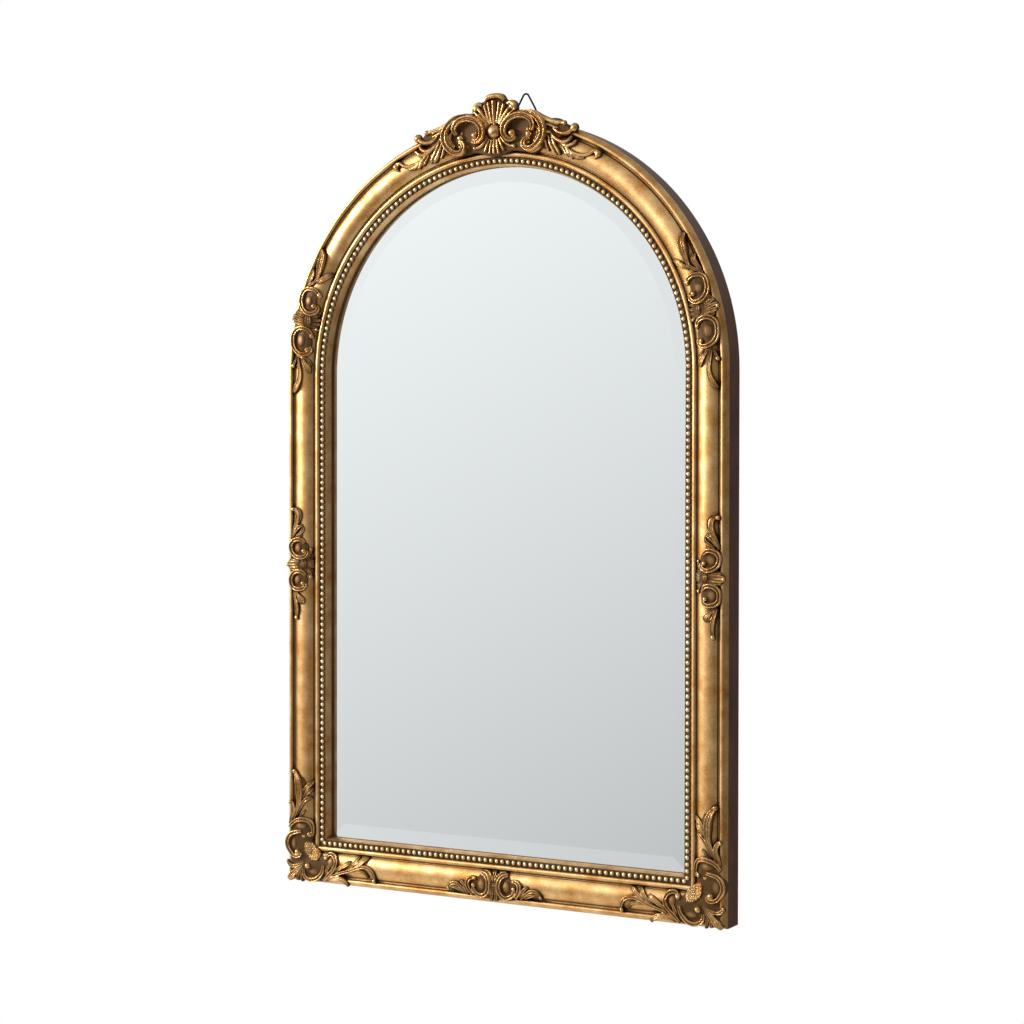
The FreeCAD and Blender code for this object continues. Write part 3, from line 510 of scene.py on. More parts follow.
def cast(name, pieces, foot, voxel, ground, on_face=True):
    """Joins the pieces, melts them into one skin, and stands it up in front of the carcass.

    With on_face it follows the moulding's swell. Heights over its ground are kept as "relief".
    """
    bpy.ops.object.select_all(action="DESELECT")
    for piece in pieces:
        piece.select_set(True)
    bpy.context.view_layer.objects.active = pieces[0]
    bpy.ops.object.join()
    made = bpy.context.view_layer.objects.active
    made.name = name
    made.data.name = name
    bpy.ops.object.transform_apply(location=True, rotation=True, scale=True)
    melt = made.modifiers.new("melt", "REMESH")
    melt.mode = "VOXEL"
    melt.voxel_size = voxel * mm
    bpy.ops.object.modifier_apply(modifier="melt")
    soften = made.modifiers.new("soften", "SMOOTH")
    soften.factor = softening
    soften.iterations = softening_rounds
    bpy.ops.object.modifier_apply(modifier="soften")
    triangles = 2 * len(made.data.polygons)
    if triangles > triangle_limit:
        thin = made.modifiers.new("thin", "DECIMATE")
        thin.ratio = triangle_limit / triangles
        bpy.ops.object.modifier_apply(modifier="thin")
    relief = made.data.attributes.new("relief", "FLOAT", "POINT")
    for height, point in zip(relief.data, made.data.vertices):
        height.value = point.co.z - ground * mm
        if on_face:
            distance = edge_distance(foot[0] + point.co.x / mm, foot[1] + point.co.y / mm)
            point.co.z += face_height(distance) * mm
    made.rotation_euler.x = math.pi / 2
    made.location = (foot[0] * mm, shoulder_y, foot[1] * mm)
    bpy.ops.object.transform_apply(location=True, rotation=True, scale=True)
    bpy.ops.object.shade_smooth()
    made.data.materials.clear()
    made.data.materials.append(gilt_ornament)
    return made


def fit_casting(made, node):
    """Puts a finished casting in the place of the plain one."""
    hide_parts(node)
    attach(made, "frame")


crest_outline_half = [
    (0, 80.5), (9, 79.2), (15, 73), (24.3, 69), (29.5, 64), (29, 58), (45, 57.6), (60, 52),
    (75, 45.5), (86, 41.5), (95, 39.5), (100, 35), (99, 28), (92, 25), (84, 21), (76, 12), (66, 12),
    (58, 12), (40, 10), (25, 12), (12.9, 8.8), (0, 6.4),
]
# lines of (across, up, size)
crest_rims = [
    [(30, 28, .5), (24.4, 25, .7), (18, 27.8, .85), (14.8, 36, 1), (18.6, 45.5, 1), (27.5, 51.3, 1),
     (38, 52.6, 1), (48.5, 49, .95), (53.6, 41, .85), (51, 34, .6)],
    [(38.6, 57.5, .5), (53, 53.3, .9), (64, 43, 1), (67.3, 32, 1), (64.5, 23, 1), (58.5, 16.5, .95),
     (51, 12.8, .9), (44, 14, .8), (40.8, 19.3, .75), (43.5, 24.8, .65), (49, 25.2, .45)],
    [(57.5, 39, .3), (60.8, 31.5, .55), (58.3, 24.5, .5), (53.8, 20.5, .3)],
    [(49, 55.5, .35), (56.5, 51, .5), (62.5, 46, .4)],
]
crest_lips = [
    [(17, 67.5, .5), (22.5, 69, .8), (27.5, 65, .85), (28.5, 59.5, .5)],
    [(30, 57.5, .3), (40, 57.5, .6), (52, 55.5, .6), (65, 49, .6), (77, 43.8, .6), (88, 41, .6),
     (95, 39.5, .5)],
    [(92, 15, .3), (98, 9.5, .5), (106, 4.5, .6), (116, 1.5, .6), (126, 2, .6), (133, 5.5, .55),
     (138, 5, .4)],
]
crest_leaves = [
    [(50, 55.5, .5), (56.5, 51, 1.1), (62.5, 43.5, 1.3), (66.8, 36.5, 1.3), (70.5, 31.5, 1.1),
     (76, 31, .6)],
    [(60, 50, .4), (72, 44, .8), (86, 38.5, .5)],
    [(65, 43, .4), (75, 38.5, .8), (86, 34.5, .5)],
    [(79, 35, .5), (85, 30.3, .9), (92, 28, 1.1), (99, 28.5, 1.1), (103.5, 31.5, 1), (105, 35, .8)],
    [(76, 29.5, .5), (82, 23, .9), (89, 18.7, 1.1), (96, 18, 1.1), (101, 20.5, 1), (104, 24.5, .6)],
    [(88, 17, .5), (96, 13.5, .9), (104, 14.5, 1), (110, 19, .6)],
    [(134, 4, .6), (136.5, -1, .8), (133, -4, .4)],
    [(72.5, 27, .5), (75.5, 17, 1), (81, 7, .9), (84, 3.5, .4)],
    [(76.5, 27, .5), (81, 16.5, 1), (86.5, 6.5, .9), (88, 3, .4)],
    [(68.5, 27, .4), (70, 17, .8), (73.5, 8.5, .5)],
    [(91, 12.5, .4), (96.5, 4, .7), (99, 0.5, .3)],
    [(95, 12.5, .5), (100.5, 4.5, 1), (105, -2, .6)],
    [(100, 9, .5), (105, 3, .9), (112, -2.5, .6)],
    [(106, 3.5, .4), (113, -1.5, .7), (120, -2.5, .4)],
    [(65.2, 31, .5), (65.3, 27, 1), (64.3, 22.5, .5)],
    [(66, 20, .4), (61, 13.5, .8), (53, 9.8, .8), (44, 10.5, .5)],
    [(3, 45, .6), (5.4, 57, .95), (7.8, 70.3, 1.2)],
    [(5.5, 45, .5), (9.2, 55, .85), (13.2, 67.5, 1.0)],
    [(6.5, 43.5, .5), (12, 52, .9), (18.5, 60, 1.1), (22.5, 65, .9)],
    [(8, 42.5, .4), (15, 50, .8), (22, 56, 1), (27, 60, .7)],
    [(3.2, 27, .6), (4.6, 18, .95), (6, 9.5, .8)],
    [(6, 28, .5), (9.5, 20, .9), (13, 12.5, .7)],
    [(8.5, 29.5, .5), (14, 23, .9), (21, 18.5, .8), (26, 17.5, .7)],
    [(9.5, 32, .4), (15.5, 27, .7), (21, 24, .5)],
]
crest_middle_leaves = [
    [(0, 45, .7), (0, 57, 1.2), (0, 71.5, 1.6)],
    [(0, 27, .6), (0, 18, 1), (0, 9.5, .9)],
]
crest_middle_lips = [
    [(-13.5, 71.5, .6), (-9, 76, .9), (0, 77.6, 1), (9, 76, .9), (13.5, 71.5, .6)],
]
# across, up, radius, rise of the middle
crest_knobs = [
    (25.3, 32.5, 4.6, 11.5), (24.5, 64.2, 3.6, 9.5), (46.5, 30.5, 4.4, 9), (106.7, 34, 5.4, 7.5),
    (138, 1.6, 4.4, 7.5), (94, 40, 3.2, 9), (26.5, 17.5, 2.3, 10), (46.5, 20, 2.6, 9.5),
]
# across, up, half width, half height, rise of the top
crest_mounds = [
    (12, 40, 5, 13, 12.4), (37, 20, 8, 6, 9.8), (45, 35.5, 5, 8, 10.4),
    (33, 56, 14, 4.5, 10.6), (60, 27, 6, 9, 10.2), (75, 42, 14, 6, 10.2),
]

crest_pieces = [
    plate(whole_outline(crest_outline_half), crest_back, crest_ground),
    swept("rim", crest_rims + mirror_lines(crest_rims), crest_ground),
    swept("lip", crest_lips + mirror_lines(crest_lips) + crest_middle_lips, crest_ground),
    swept("leaf", crest_leaves + mirror_lines(crest_leaves) + crest_middle_leaves, crest_ground),
    knob(*crest_ball),
]
crest_pieces += [knob(*spot) for spot in crest_knobs + mirror_spots(crest_knobs)]
crest_pieces += [mound(*spot) for spot in crest_mounds + mirror_spots(crest_mounds)]
crest = cast("crest", crest_pieces, crest_foot, crest_voxel, crest_ground, on_face=False)
fit_casting(crest, "crest_ornament")

# Shoulders
# Two castings, left and right, where the arch springs from the sides: a palmette lying between
# two C-scrolls, with leaves above and below. They lie on the moulding and follow its swell.

# From here on rises are counted from the moulding's face. A casting's base goes down into it.
cast_back = -6.5
cast_ground = 0.9
shoulder_voxel = 0.42
shoulder_foot = (-outer_radius, -343.8)
shoulder_outline = [
    (46, 112), (37, 117.5), (28, 116), (24.1, 108), (23.6, 100), (18.4, 95), (13.2, 90), (10.8, 83),
    (12.7, 76), (20.3, 71), (12.7, 64), (10.8, 56), (12.7, 47), (18.4, 41), (26, 39), (33.5, 42),
    (37, 50), (36.5, 60), (36, 68), (44, 70), (46.5, 80), (43, 86), (46, 95), (46, 103),
]
# lines of (across, up, size)
shoulder_bands = [
    [(50.3, 109.9, .75), (45.8, 116, .9), (37.2, 119, .85), (28.4, 117.5, .9), (24.2, 110.3, 1),
     (23.4, 101.5, 1), (27.5, 93.1, 1), (35.2, 88.4, 1), (42.2, 89.2, .9), (46.5, 94, .8),
     (45.2, 98.4, .6)],
    [(37.6, 60, .8), (35.2, 65.7, .9), (28.2, 70.2, 1), (19, 70.1, 1), (12.5, 64.7, 1), (10.7, 56.1, 1),
     (12.2, 47.2, 1), (18.1, 40.7, 1), (25.4, 38, 1), (31.6, 38.9, .9), (35.3, 43, .8), (34.3, 47, .6)],
]
shoulder_fronds = [
    [(45.9, 128.5, .4), (50.2, 138.5, .8), (53.2, 148.4, 1.1), (55.5, 158.4, 1), (52.5, 167.5, .4)],
    [(31.5, 125, .3), (37, 130.8, .6), (40.5, 136.9, .7), (39.6, 143.5, .3)],
    [(45.8, 125.4, .3), (54.4, 129.6, .7), (61.6, 133.5, .7), (68, 137, .3)],
    [(18, 34.3, .3), (19.7, 24.1, .5), (21.3, 15.2, .6), (20.3, 6.3, .7), (16, -2.5, .8),
     (10.6, -9.2, .4)],
    [(22.9, 32.9, .3), (28.1, 26.6, .6), (32, 20.2, .8), (33.4, 14.5, .4)],
]
shoulder_blades = [
    [(45.9, 128.5, .5), (49, 134, .6), (51.5, 141, .5)],
    [(29, 122.2, .5), (39.5, 125.6, .8), (47.4, 130.4, .7), (52.6, 137.2, .5)],
    [(28.6, 87.6, .6), (23, 92.6, .9), (19.3, 95, .6)],
    [(27, 84.6, .6), (19.9, 88.9, 1), (14.9, 91.6, .8)],
    [(26.6, 80.4, .6), (18.5, 83.8, 1), (11.1, 86.4, .9)],
    [(26.7, 77, .6), (18.4, 78.5, 1), (11.6, 80, .9)],
    [(27.5, 73.7, .6), (20.4, 73.9, .9), (14, 75.3, .7)],
    [(34.5, 84.7, .6), (34.7, 79.6, 1), (33.9, 74.6, .6)],
    [(39, 83.3, .4), (43.7, 84.6, .7), (47.9, 85.2, .5)],
    [(39.6, 79.6, .4), (44.5, 79.5, .7), (49.6, 80.1, .5)],
    [(38.6, 75.8, .4), (43, 74.8, .7), (48, 74.4, .5)],
    [(39.5, 72, .4), (42.1, 69.5, .7), (44.5, 68.1, .5)],
    [(27.3, 34.2, .4), (32.7, 29.7, .8), (35.5, 23.4, .6)],
    [(15.4, 34.4, .5), (12.8, 28.7, .7), (10.4, 24, .6)],
]
# across, up, radius, rise of the middle
shoulder_knobs = [
    (41.4, 97.2, 3.2, 1.4), (31.4, 43.8, 3, 1.4), (49.7, 109.9, 3.2, 1.2), (37.4, 60.4, 3, 1.2),
    (10.4, 24, 2.8, 0.9), (43.3, 68, 2, 1.2), (10.7, 83.4, 2.6, 0.8),
]
# across, up, half width, half height, rise of the top
shoulder_mounds = [(34, 104, 6, 7, 2.1), (22.2, 55, 7, 9, 2.1)]


def other_side(made, name):
    """A copy of a finished casting, mirrored to the right half of the frame."""
    copy = made.copy()
    copy.data = made.data.copy()
    copy.name = name
    copy.data.name = name
    bpy.context.collection.objects.link(copy)
    bpy.ops.object.select_all(action="DESELECT")
    copy.select_set(True)
    bpy.context.view_layer.objects.active = copy
    bpy.ops.object.mode_set(mode="EDIT")
    bpy.ops.mesh.select_all(action="SELECT")
    bpy.ops.transform.resize(value=(-1, 1, 1), center_override=(0, 0, 0))
    bpy.ops.mesh.flip_normals()
    bpy.ops.object.mode_set(mode="OBJECT")
    return copy


def carved(plates, bands, blades, fronds, knobs, mounds):
    """The pieces of a casting that lies on the moulding. A plate is an outline and its front."""
    pieces = [plate(outline, cast_back, front) for outline, front in plates]
    for kind, lines in (("band", bands), ("blade", blades), ("frond", fronds)):
        if lines:
            pieces.append(swept(kind, lines, 0.0))
    pieces += [knob(*spot) for spot in knobs]
    pieces += [mound(*spot) for spot in mounds]
    return pieces


shoulder_pieces = carved([(shoulder_outline, cast_ground)], shoulder_bands, shoulder_blades,
                         shoulder_fronds, shoulder_knobs, shoulder_mounds)
left_shoulder = cast("shoulder_left", shoulder_pieces, shoulder_foot, shoulder_voxel, cast_ground)
right_shoulder = other_side(left_shoulder, "shoulder_right")
fit_casting(left_shoulder, "shoulder_ornament_left")
fit_casting(right_shoulder, "shoulder_ornament_right")

# Sides
# Two castings half way down the sides: a small palmette held between two C-scrolls, with leaf
# tips running up and down the moulding from them.

side_voxel = 0.4
side_foot = (-outer_radius, -567.7)
side_outline = [
    (31, 27), (22, 30), (14, 29), (9, 25), (9, 18), (13, 12), (4, 6), (2.5, 0), (4, -6), (13, -12),
    (9, -18), (9, -25), (14, -29), (22, -30), (29, -27), (32, -20), (31, -12), (36, -8), (37.5, 0),
    (36, 8), (31, 12), (33, 20),
]
side_bands = [
    [(27.8, 27.2, .7), (23.1, 31, .9), (14.8, 30.8, 1), (8.6, 26.3, 1), (7.9, 19.6, 1), (11.4, 13.4, 1),
     (19.1, 9.4, 1), (26.2, 9.6, .9), (30.6, 13.4, .75), (30.6, 17.3, .6)],
    [(29.2, -13.3, .7), (25.7, -9.5, .9), (19.7, -8.3, 1), (12.1, -10.4, 1), (8.2, -15.4, 1),
     (7.7, -21.6, 1), (10, -27.3, 1), (16.6, -30.3, 1), (24.1, -30.1, .9), (28.3, -26.7, .8),
     (28.7, -22.4, .6)],
]
side_fronds = [
    [(8.4, 35.9, .3), (13.5, 45.5, .6), (17, 54.2, .7), (17.3, 62.8, .6), (14.8, 68, .5),
     (9.5, 69.4, .3)],
    [(13.5, -33.8, .3), (20.3, -39.8, .6), (25, -44.4, .7), (24, -49.5, .3)],
    [(10.9, -33, .3), (13.5, -40.5, .5), (15.7, -49, .6), (16.6, -57.6, .6), (15.1, -66.3, .3)],
]
side_blades = [
    [(19.1, 51.9, .5), (21.8, 59.1, .8), (21, 66.2, .8), (16.6, 70.5, .5)],
    [(8.2, 33, .6), (13.5, 40.8, .9), (19.1, 46.6, 1), (25.2, 49.4, .6)],
    [(14.2, 36, .5), (20.9, 39, .8), (25.2, 42.9, .8), (25.2, 47.7, .5)],
    [(10, 29.2, .4), (17.3, 35.1, .8), (24.6, 36.2, .5)],
    [(29.2, 8.7, .4), (33.3, 12.5, .8), (35.6, 19.7, .6)],
    [(28.7, -6.6, .4), (33.3, -9.4, .8), (35.4, -15.6, .6)],
    [(15.4, -38.5, .4), (18.5, -44.1, .8), (22.5, -48.3, .5)],
    [(19.7, 4.2, .6), (12.1, 4.9, .9), (5.3, 5.9, .7)],
    [(18.5, 2.2, .5), (10, 1.9, .9), (2.3, 1.7, .8)],
    [(18.5, -1.1, .5), (10, -1.9, .9), (3.1, -2.1, .8)],
    [(19.7, -4, .6), (12.1, -5, .9), (5.8, -5.8, .7)],
    [(29.2, 7.2, .4), (33.3, 7.7, .6), (37.5, 8.7, .5)],
    [(30.6, 3.9, .4), (35.4, 4.4, .7), (38.6, 5.2, .5)],
    [(30.6, 1, .4), (35.4, 1.1, .7), (39, 1.5, .5)],
    [(30.6, -1.8, .4), (35.4, -2.1, .7), (38.6, -2.2, .5)],
    [(30.1, -4.7, .4), (34.1, -6.6, .6), (37.6, -8.2, .5)],
    [(24.4, 5.5, .5), (24.8, 0.5, .9), (24.8, -5, .5)],
    [(28.7, 6.3, .4), (27.9, 0.5, .7), (29, -5.7, .4)],
]
side_knobs = [
    (26.7, 16.9, 3, 1.4), (25.5, -23.4, 3, 1.4), (15.4, -66.3, 2.8, 0.9), (9.8, 68.8, 2.8, 0.9),
    (35.6, 19.2, 2, 1.2), (35.2, -15.2, 2.2, 1.2), (2.4, -0.3, 2.6, 0.8),
]
side_mounds = [(17.5, 20, 6, 7, 2.1), (16.5, -19.5, 6, 7, 2.1)]

side_pieces = carved([(side_outline, cast_ground)], side_bands, side_blades, side_fronds,
                     side_knobs, side_mounds)
left_side = cast("side_left", side_pieces, side_foot, side_voxel, cast_ground)
right_side = other_side(left_side, "side_right")
fit_casting(left_side, "side_ornament_left")
fit_casting(right_side, "side_ornament_right")

# Corners
# Two castings over the lower mitres: C-scrolls that lock round a granulated panel, a small fan
# that points at the corner, and leaf sprays that run up the side and along the bottom.

corner_voxel = 0.45
corner_foot = (-outer_radius, bottom_z)
corner_outline = [
    (1.8, 50), (4.1, 60), (9.7, 70), (20, 75), (30, 75), (36, 68), (37.5, 58), (37, 51), (44, 45),
    (50, 37), (57, 33), (63, 35), (70, 33.5), (73, 27), (70, 19), (62, 9.6), (55, 3.3), (45, 2.8),
    (34, 2.8), (27, 8.4), (20, 13), (9.7, 7.3), (5.2, 14), (2.9, 22), (7.5, 27), (4.1, 34), (1.8, 42),
]
corner_bands = [
    [(4.9, 66.4, .7), (9.7, 72.2, .85), (20.5, 77.5, 1), (29.6, 77.6, 1), (35.2, 74.5, .95),
     (37.6, 68.9, .85), (37.9, 62.9, .75), (36.4, 57.6, .6)],
    [(23.1, 62.5, .6), (15.8, 61.4, .85), (7.5, 58.3, .95), (2.8, 52, 1), (2.3, 44.9, 1),
     (5.8, 37.5, .95), (12, 32, .9), (19.9, 31.9, .8), (23.1, 36.3, .6)],
    [(26.3, 16.1, .6), (28, 7.8, .85), (34.7, 3.8, .95), (42.7, 4.1, 1), (49.8, 8.6, .95),
     (55.1, 15.9, .8), (56.3, 22.8, .6)],
    [(59.8, 33.4, .6), (62.4, 36.9, .8), (68, 37, .9), (73, 32.8, .9), (74.7, 27.2, .9),
     (71.3, 19.4, .9), (63.7, 11.7, .85), (56, 3.9, .6)],
]
corner_fronds = [
    [(4.6, 70.6, .3), (7.5, 79, .5), (11.4, 87.6, .6), (10, 94.9, .6), (5.2, 99.8, .4)],
    [(7.5, 72.6, .3), (16, 88.2, .5), (20.4, 101.4, .8), (20.9, 114.3, 1.1), (18.9, 126.1, 1),
     (13.4, 137, .5)],
    [(24.1, 101.6, .3), (29.5, 109.2, .5), (33.4, 113.4, .6), (38, 117.8, .3)],
    [(25.1, 109, .3), (29.9, 117.5, .6), (34.6, 122.1, .6), (39, 126.2, .3)],
    [(72.2, 15.6, .3), (81.4, 22.3, .6), (91, 27.9, .7), (96, 31.3, .3)],
    [(89.5, 20.2, .3), (98, 26.6, .5), (104.1, 33.3, .6), (107, 38, .3)],
    [(96.2, 22.2, .3), (106.8, 28.3, .6), (114.2, 33.6, .7), (120.5, 38, .3)],
    [(60.5, 3.9, .3), (70.4, 8.2, .6), (80.5, 8.4, .7), (88.8, 5, .6), (92.6, 0.2, .3)],
    [(26.4, 22.8, .3), (17, 15.2, .6), (9.2, 7, 1), (3.4, 1.6, .6)],
]
corner_blades = [
    [(15.8, 81.6, .4), (23.1, 95.1, .9), (30.6, 103.7, 1.1), (36.3, 106.1, .6)],
    [(27.2, 115.5, .4), (26.9, 123.8, .7), (24.4, 130, .5)],
    [(20.5, 81.1, .4), (25.1, 86, .8), (28.8, 89.4, .5)],
    [(55.8, 3.3, .5), (66.9, 9.2, .8), (81.3, 15.6, .9), (95.1, 19.8, .9), (107.2, 24.6, 1),
     (118.3, 26.1, 1), (126.4, 22.7, 1), (130.2, 16.5, .9), (130.7, 10.4, .5)],
    [(95, 19.8, .4), (108, 20.5, .8), (117, 19, .8), (122, 13, .5)],
    [(59.1, 11.2, .5), (61.4, 16.5, 1), (64.4, 22.6, .7)],
    [(26.2, 25.1, .5), (16.5, 19.5, .9), (6.6, 19, 1), (1.3, 24, .7)],
    [(25.3, 18.9, .5), (18, 8.9, .9), (16.7, 1, .7)],
    [(23.9, 14.9, .4), (22.4, 6.2, .8), (23.8, -0.2, .5)],
]
corner_knobs = [
    (34.2, 59.3, 3.2, 1.4), (17.2, 36.6, 3.8, 1.4), (12, 137, 3, 0.9), (5.7, 97.6, 2.6, 0.9),
    (32.9, 20.6, 4, 1.4), (58.9, 32.6, 3.2, 1.2), (130, 10.2, 2.6, 0.9), (2, 24, 2.4, 0.9),
]
corner_mounds = [
    (22, 69, 10, 4.5, 2.1), (10.9, 47, 5, 9, 2.1), (41, 13, 9, 4.5, 2.1), (66, 27, 5.5, 8, 2.1),
]
# the raised panel, which is stippled with small grains
panel_outline = [
    (29, 49.5), (36.2, 49.7), (42.6, 45.6), (49.8, 38), (48.2, 29.7), (43.2, 27.1), (34.8, 30.3),
    (29.9, 36.7), (27.8, 43.1),
]
panel_front = 2.2
grain_radius = 1.05
grain_pitch = 2.5


def inside(outline, across, up):
    """Whether a spot lies within an outline of (across, up) corners."""
    hits = 0
    for (x_one, y_one), (x_two, y_two) in zip(outline, outline[1:] + outline[:1]):
        if (y_one > up) != (y_two > up):
            if across < x_one + (up - y_one) * (x_two - x_one) / (y_two - y_one):
                hits += 1
    return hits % 2 == 1


def grains(outline):
    """Small grains in offset rows over the panel."""
    lows = [min(spot[axis] for spot in outline) for axis in (0, 1)]
    highs = [max(spot[axis] for spot in outline) for axis in (0, 1)]
    made = []
    for row in range(int((highs[1] - lows[1]) / grain_pitch)):
        for column in range(int((highs[0] - lows[0]) / grain_pitch)):
            across = lows[0] + (column + 0.5 * (row % 2)) * grain_pitch
            up = lows[1] + row * grain_pitch
            if inside(outline, across, up):
                made.append(knob(across, up, grain_radius, panel_front + grain_radius / 3))
    return made


corner_plates = [(corner_outline, cast_ground), (panel_outline, panel_front)]
corner_pieces = carved(corner_plates, corner_bands, corner_blades, corner_fronds, corner_knobs,
                       corner_mounds)
corner_pieces += grains(panel_outline)
left_corner = cast("corner_left", corner_pieces, corner_foot, corner_voxel, cast_ground)
right_corner = other_side(left_corner, "corner_right")
fit_casting(left_corner, "corner_ornament_left")
fit_casting(right_corner, "corner_ornament_right")

# Bottom
# A small casting in the middle of the bottom rail: two C-scrolls back to back with a fan of
# leaves above and below, and leaf tips to both sides.

bottom_voxel = 0.42
bottom_foot = (0.0, bottom_z)
bottom_outline_half = [
    (0, 36), (6, 35), (12, 34), (18, 34.5), (24, 30), (32, 27), (34.5, 22), (33, 15), (28, 9),
    (20, 8), (13, 9), (8, 7), (0, 5),
]
bottom_bands = [
    [(18.4, 35.3, .75), (12.5, 33.7, .9), (8.2, 28.4, 1), (6.9, 21.3, 1), (8.9, 13.4, 1), (14.5, 8.7, 1),
     (21.3, 9.3, .9), (26.7, 13.6, .8), (28.9, 19.1, .6)],
    [(26.9, 28.6, .7), (32.5, 27.6, .9), (35.6, 22.9, 1), (34.2, 16.4, 1), (29, 9.3, .8)],
]
bottom_blades = [
    [(15.4, 37.5, .7), (8.7, 35.6, 1), (4.4, 30.6, .9), (2, 25.4, .6)],
    [(35.4, 9.6, .5), (39.2, 16.9, .9), (43.8, 22.5, .9), (47.3, 24, .5)],
    [(35.9, 8.4, .6), (44.1, 15.4, .9), (52, 19.8, 1), (59.1, 18.5, .9), (64.2, 13, .6)],
    [(41.3, 9, .5), (48, 12.9, .8), (55.4, 14.9, .8), (61.5, 12.7, .5)],
    [(1.2, 20.9, .5), (2.6, 12.6, .9), (3.6, 3.2, .8)],
    [(3, 22, .5), (6.4, 14, .8), (8.4, 5.7, .6)],
]
bottom_middle_blades = [
    [(0, 25.4, .5), (0, 32.5, .9), (0, 38.6, .9)],
    [(-6.5, 24, .5), (0, 22.6, .8), (6.5, 24, .5)],
]
bottom_knobs = [(27.6, 20, 3, 1.3), (26.5, 28.6, 2.6, 1.2), (63.6, 12.8, 2.2, 1)]
bottom_mounds = [(17, 21, 6, 8, 2.3)]

bottom_pieces = carved(
    [(whole_outline(bottom_outline_half), cast_ground)],
    bottom_bands + mirror_lines(bottom_bands),
    bottom_blades + mirror_lines(bottom_blades) + bottom_middle_blades,
    [],
    bottom_knobs + mirror_spots(bottom_knobs),
    bottom_mounds + mirror_spots(bottom_mounds),
)
bottom = cast("bottom", bottom_pieces, bottom_foot, bottom_voxel, cast_ground)
fit_casting(bottom, "bottom_ornament")

# Hanger rings
# Two triangles bent from blackened steel wire, which swing in the straps behind the crest. One
# of them shows above the arch.

wire_cloud_size = 3 * mm


def steel(name, dark, light, roughness):
    """Plated or blackened steel with faint clouds and a slightly uneven skin."""
    material, tree, surface = new_finish(name)
    place = add_node(tree, "TexCoord", {}, {}).outputs["Object"]
    clouds = add_node(tree, "TexNoise", {"Scale": 1 / wire_cloud_size, "Detail": 4.0},
                      {"Vector": place})
    colour = add_node(tree, "Mix", {6: linear(dark), 7: linear(light)},
                      {0: clouds.outputs["Fac"]}, data_type="RGBA")
    rough = add_node(tree, "MapRange", {"To Min": roughness - 0.08, "To Max": roughness + 0.12},
                     {"Value": clouds.outputs["Fac"]})
    bump = add_node(tree, "Bump", {"Strength": 0.2, "Distance": 0.03 * mm},
                    {"Height": clouds.outputs["Fac"]})
    surface.inputs["Metallic"].default_value = 1.0
    tree.links.new(colour.outputs[2], surface.inputs["Base Color"])
    tree.links.new(rough.outputs["Result"], surface.inputs["Roughness"])
    tree.links.new(bump.outputs["Normal"], surface.inputs["Normal"])
    return material


# Blackened steel wire: near black, with a blue-grey sheen
wire_steel = steel("blackened_steel", "#15181D", "#2A2F36", roughness=0.35)
finish_nodes(wire_steel, "hanger_ring_left", "hanger_ring_right")

# Straps, turn buttons and screws
# Two straps folded round the rings, and eight flat buttons that hold the back board in. Each one
# is stamped from sheet steel and held by one screw.

# Zinc-plated steel: grey-silver, slightly cloudy
zinc_steel = steel("zinc_plated_steel", "#9EA3A6", "#C3C7C8", roughness=0.38)
finish_nodes(zinc_steel, "hanger_strap_left", "hanger_strap_right", "strap_screws",
             "turn_button_low_left", "turn_button_low_right", "turn_button_high_left",
             "turn_button_high_right", "turn_button_bottom_left", "turn_button_bottom_right",
             "turn_button_arch_left", "turn_button_arch_right", "turn_button_screws")

# Wall bumpers
# Four round pads of pressed felt, glued to the back near the rim.

# Felt: dark grey, fibrous
felt = pressed_board("felt_bumper", "#4A4A4C", "#5E5E60", fibre=0.6 * mm, roughness=0.95,
                     bump_depth=0.2 * mm)
finish_nodes(felt, "wall_bumpers")

# Floor
# A plain pale floor one metre below the mirror, which hangs on a hook.

floor_drop = 1.0
floor_size = 4.4
floor_colour = "#F2F2F0"
floor_whiteness = 0.85  # how much of the floor the camera sees as plain white


def pale_floor():
    """Pale floor that the camera sees almost white, with the object's soft shadow on it."""
    material, tree, surface = new_finish("pale_floor")
    surface.inputs["Base Color"].default_value = linear(floor_colour)
    surface.inputs["Roughness"].default_value = 0.8
    ray = add_node(tree, "LightPath", {}, {})
    seen = add_node(tree, "Math", {1: floor_whiteness}, {0: ray.outputs["Is Camera Ray"]},
                    operation="MULTIPLY")
    white = add_node(tree, "Emission", {"Strength": 1.0}, {})
    mixed = add_node(tree, "MixShader", {}, {0: seen.outputs[0], 1: surface.outputs["BSDF"],
                                             2: white.outputs["Emission"]})
    tree.links.new(mixed.outputs["Shader"], tree.nodes["Material Output"].inputs["Surface"])
    return material


bpy.ops.mesh.primitive_plane_add(size=floor_size, location=(0, 0, cad_box[0].z - floor_drop))
floor = bpy.context.object
floor.name = "floor"
floor.data.materials.append(pale_floor())

# Light
# A pale studio, brighter to the left and upwards, and one large soft lamp at the upper left.

studio_level = 0.459
studio_rise = 1.01
studio_left = -0.66
studio_darkest = 0.2
studio_brightest = 1.0
studio_overhead = 0.45

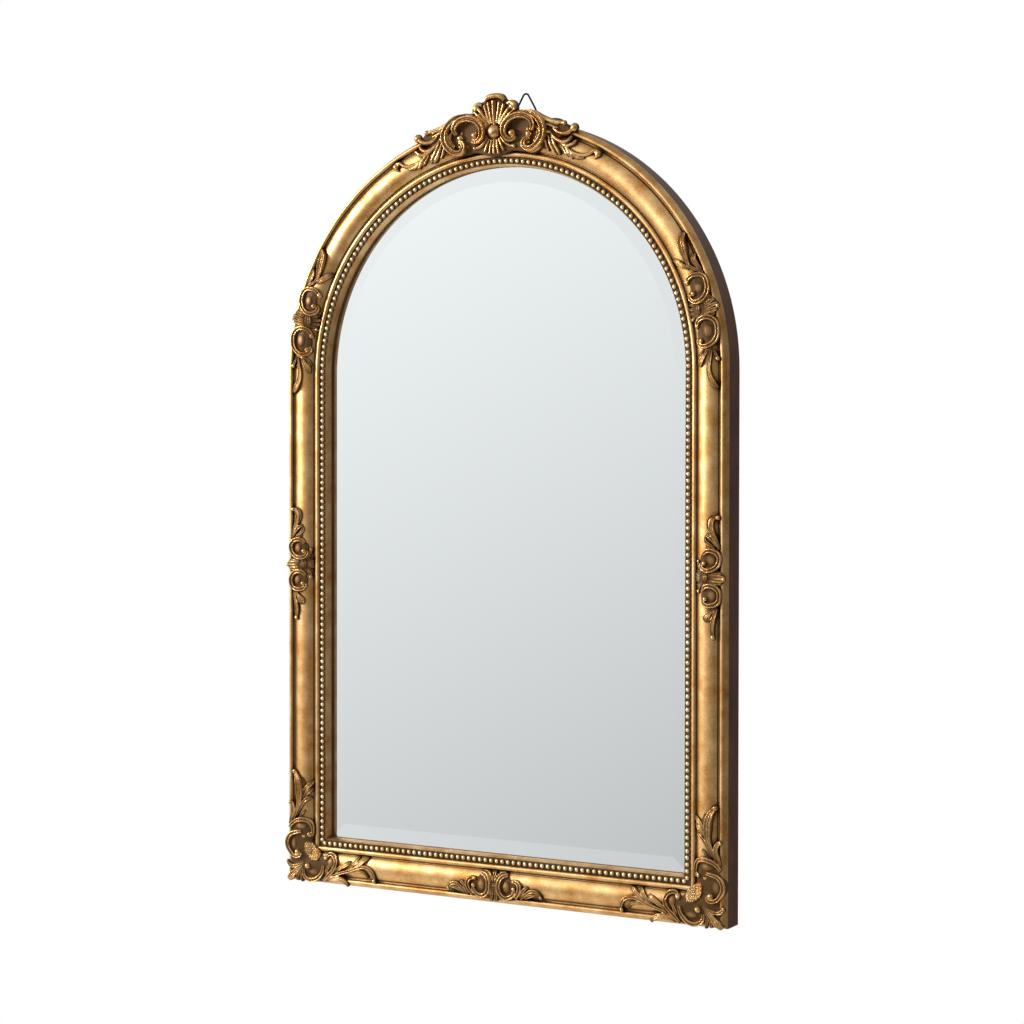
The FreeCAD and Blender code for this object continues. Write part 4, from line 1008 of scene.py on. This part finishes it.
world = bpy.data.worlds.new("studio")
bpy.context.scene.world = world
world.use_nodes = True
tree = world.node_tree
direction = add_node(tree, "TexCoord", {}, {}).outputs["Generated"]
parts = add_node(tree, "SeparateXYZ", {}, {"Vector": direction})
level = add_node(tree, "Math", {1: studio_rise, 2: studio_level}, {0: parts.outputs["Z"]},
                 operation="MULTIPLY_ADD")
level = add_node(tree, "Math", {1: studio_left}, {0: parts.outputs["X"], 2: level.outputs[0]},
                 operation="MULTIPLY_ADD")
level = add_node(tree, "Clamp", {"Min": studio_darkest, "Max": studio_brightest},
                 {"Value": level.outputs[0]})
overhead = add_node(tree, "MapRange", {"From Min": 0.3, "From Max": 0.9, "To Min": 1.0,
                                       "To Max": studio_overhead}, {"Value": parts.outputs["Z"]})
level = add_node(tree, "Math", {}, {0: level.outputs[0], 1: overhead.outputs["Result"]},
                 operation="MULTIPLY")
ray = add_node(tree, "LightPath", {}, {})
strength = add_node(tree, "Mix", {3: 1.0}, {0: ray.outputs["Is Camera Ray"], 2: level.outputs[0]},
                    data_type="FLOAT")
background = tree.nodes["Background"]
background.inputs["Color"].default_value = (1.0, 1.0, 1.0, 1.0)
tree.links.new(strength.outputs[0], background.inputs["Strength"])

lamp_place = Vector((-2.6, -1.7, 0.45))
lamp_target = Vector((0, 0, -0.4))
lamp_size = 0.8
lamp_power = 96.0
bpy.ops.object.light_add(type="AREA", location=lamp_place)
lamp = bpy.context.object
lamp.name = "soft_lamp"
lamp.data.size = lamp_size
lamp.data.energy = lamp_power
lamp.rotation_euler = (lamp_target - lamp_place).to_track_quat("-Z", "Y").to_euler()

# Camera
# Where the photograph was taken from: to the right of the mirror and level with its middle.

target = Vector((6.709, -11.0, -453.52)) * mm
turn = 0.5146
lift = 0.0164
roll = 0.0013
distance = 2745.9 * mm
focal_pixels = 2294.71
frame_pixels = 1024
sensor_width = 36.0
shift_pixels = -37.22

back = Vector((math.sin(turn) * math.cos(lift), -math.cos(turn) * math.cos(lift), math.sin(lift)))
bpy.ops.object.camera_add(location=target + back * distance)
camera = bpy.context.object
camera.name = "camera"
aim = back.to_track_quat("Z", "Y") @ Matrix.Rotation(roll, 3, "Z").to_quaternion()
camera.rotation_euler = aim.to_euler()
camera.data.sensor_width = sensor_width
camera.data.lens = focal_pixels * sensor_width / frame_pixels
camera.data.shift_y = shift_pixels / frame_pixels
bpy.context.scene.camera = camera
bpy.context.scene.view_settings.view_transform = "Standard"

# The sections have done their work
for helper in sections.values():
    bpy.data.objects.remove(helper)
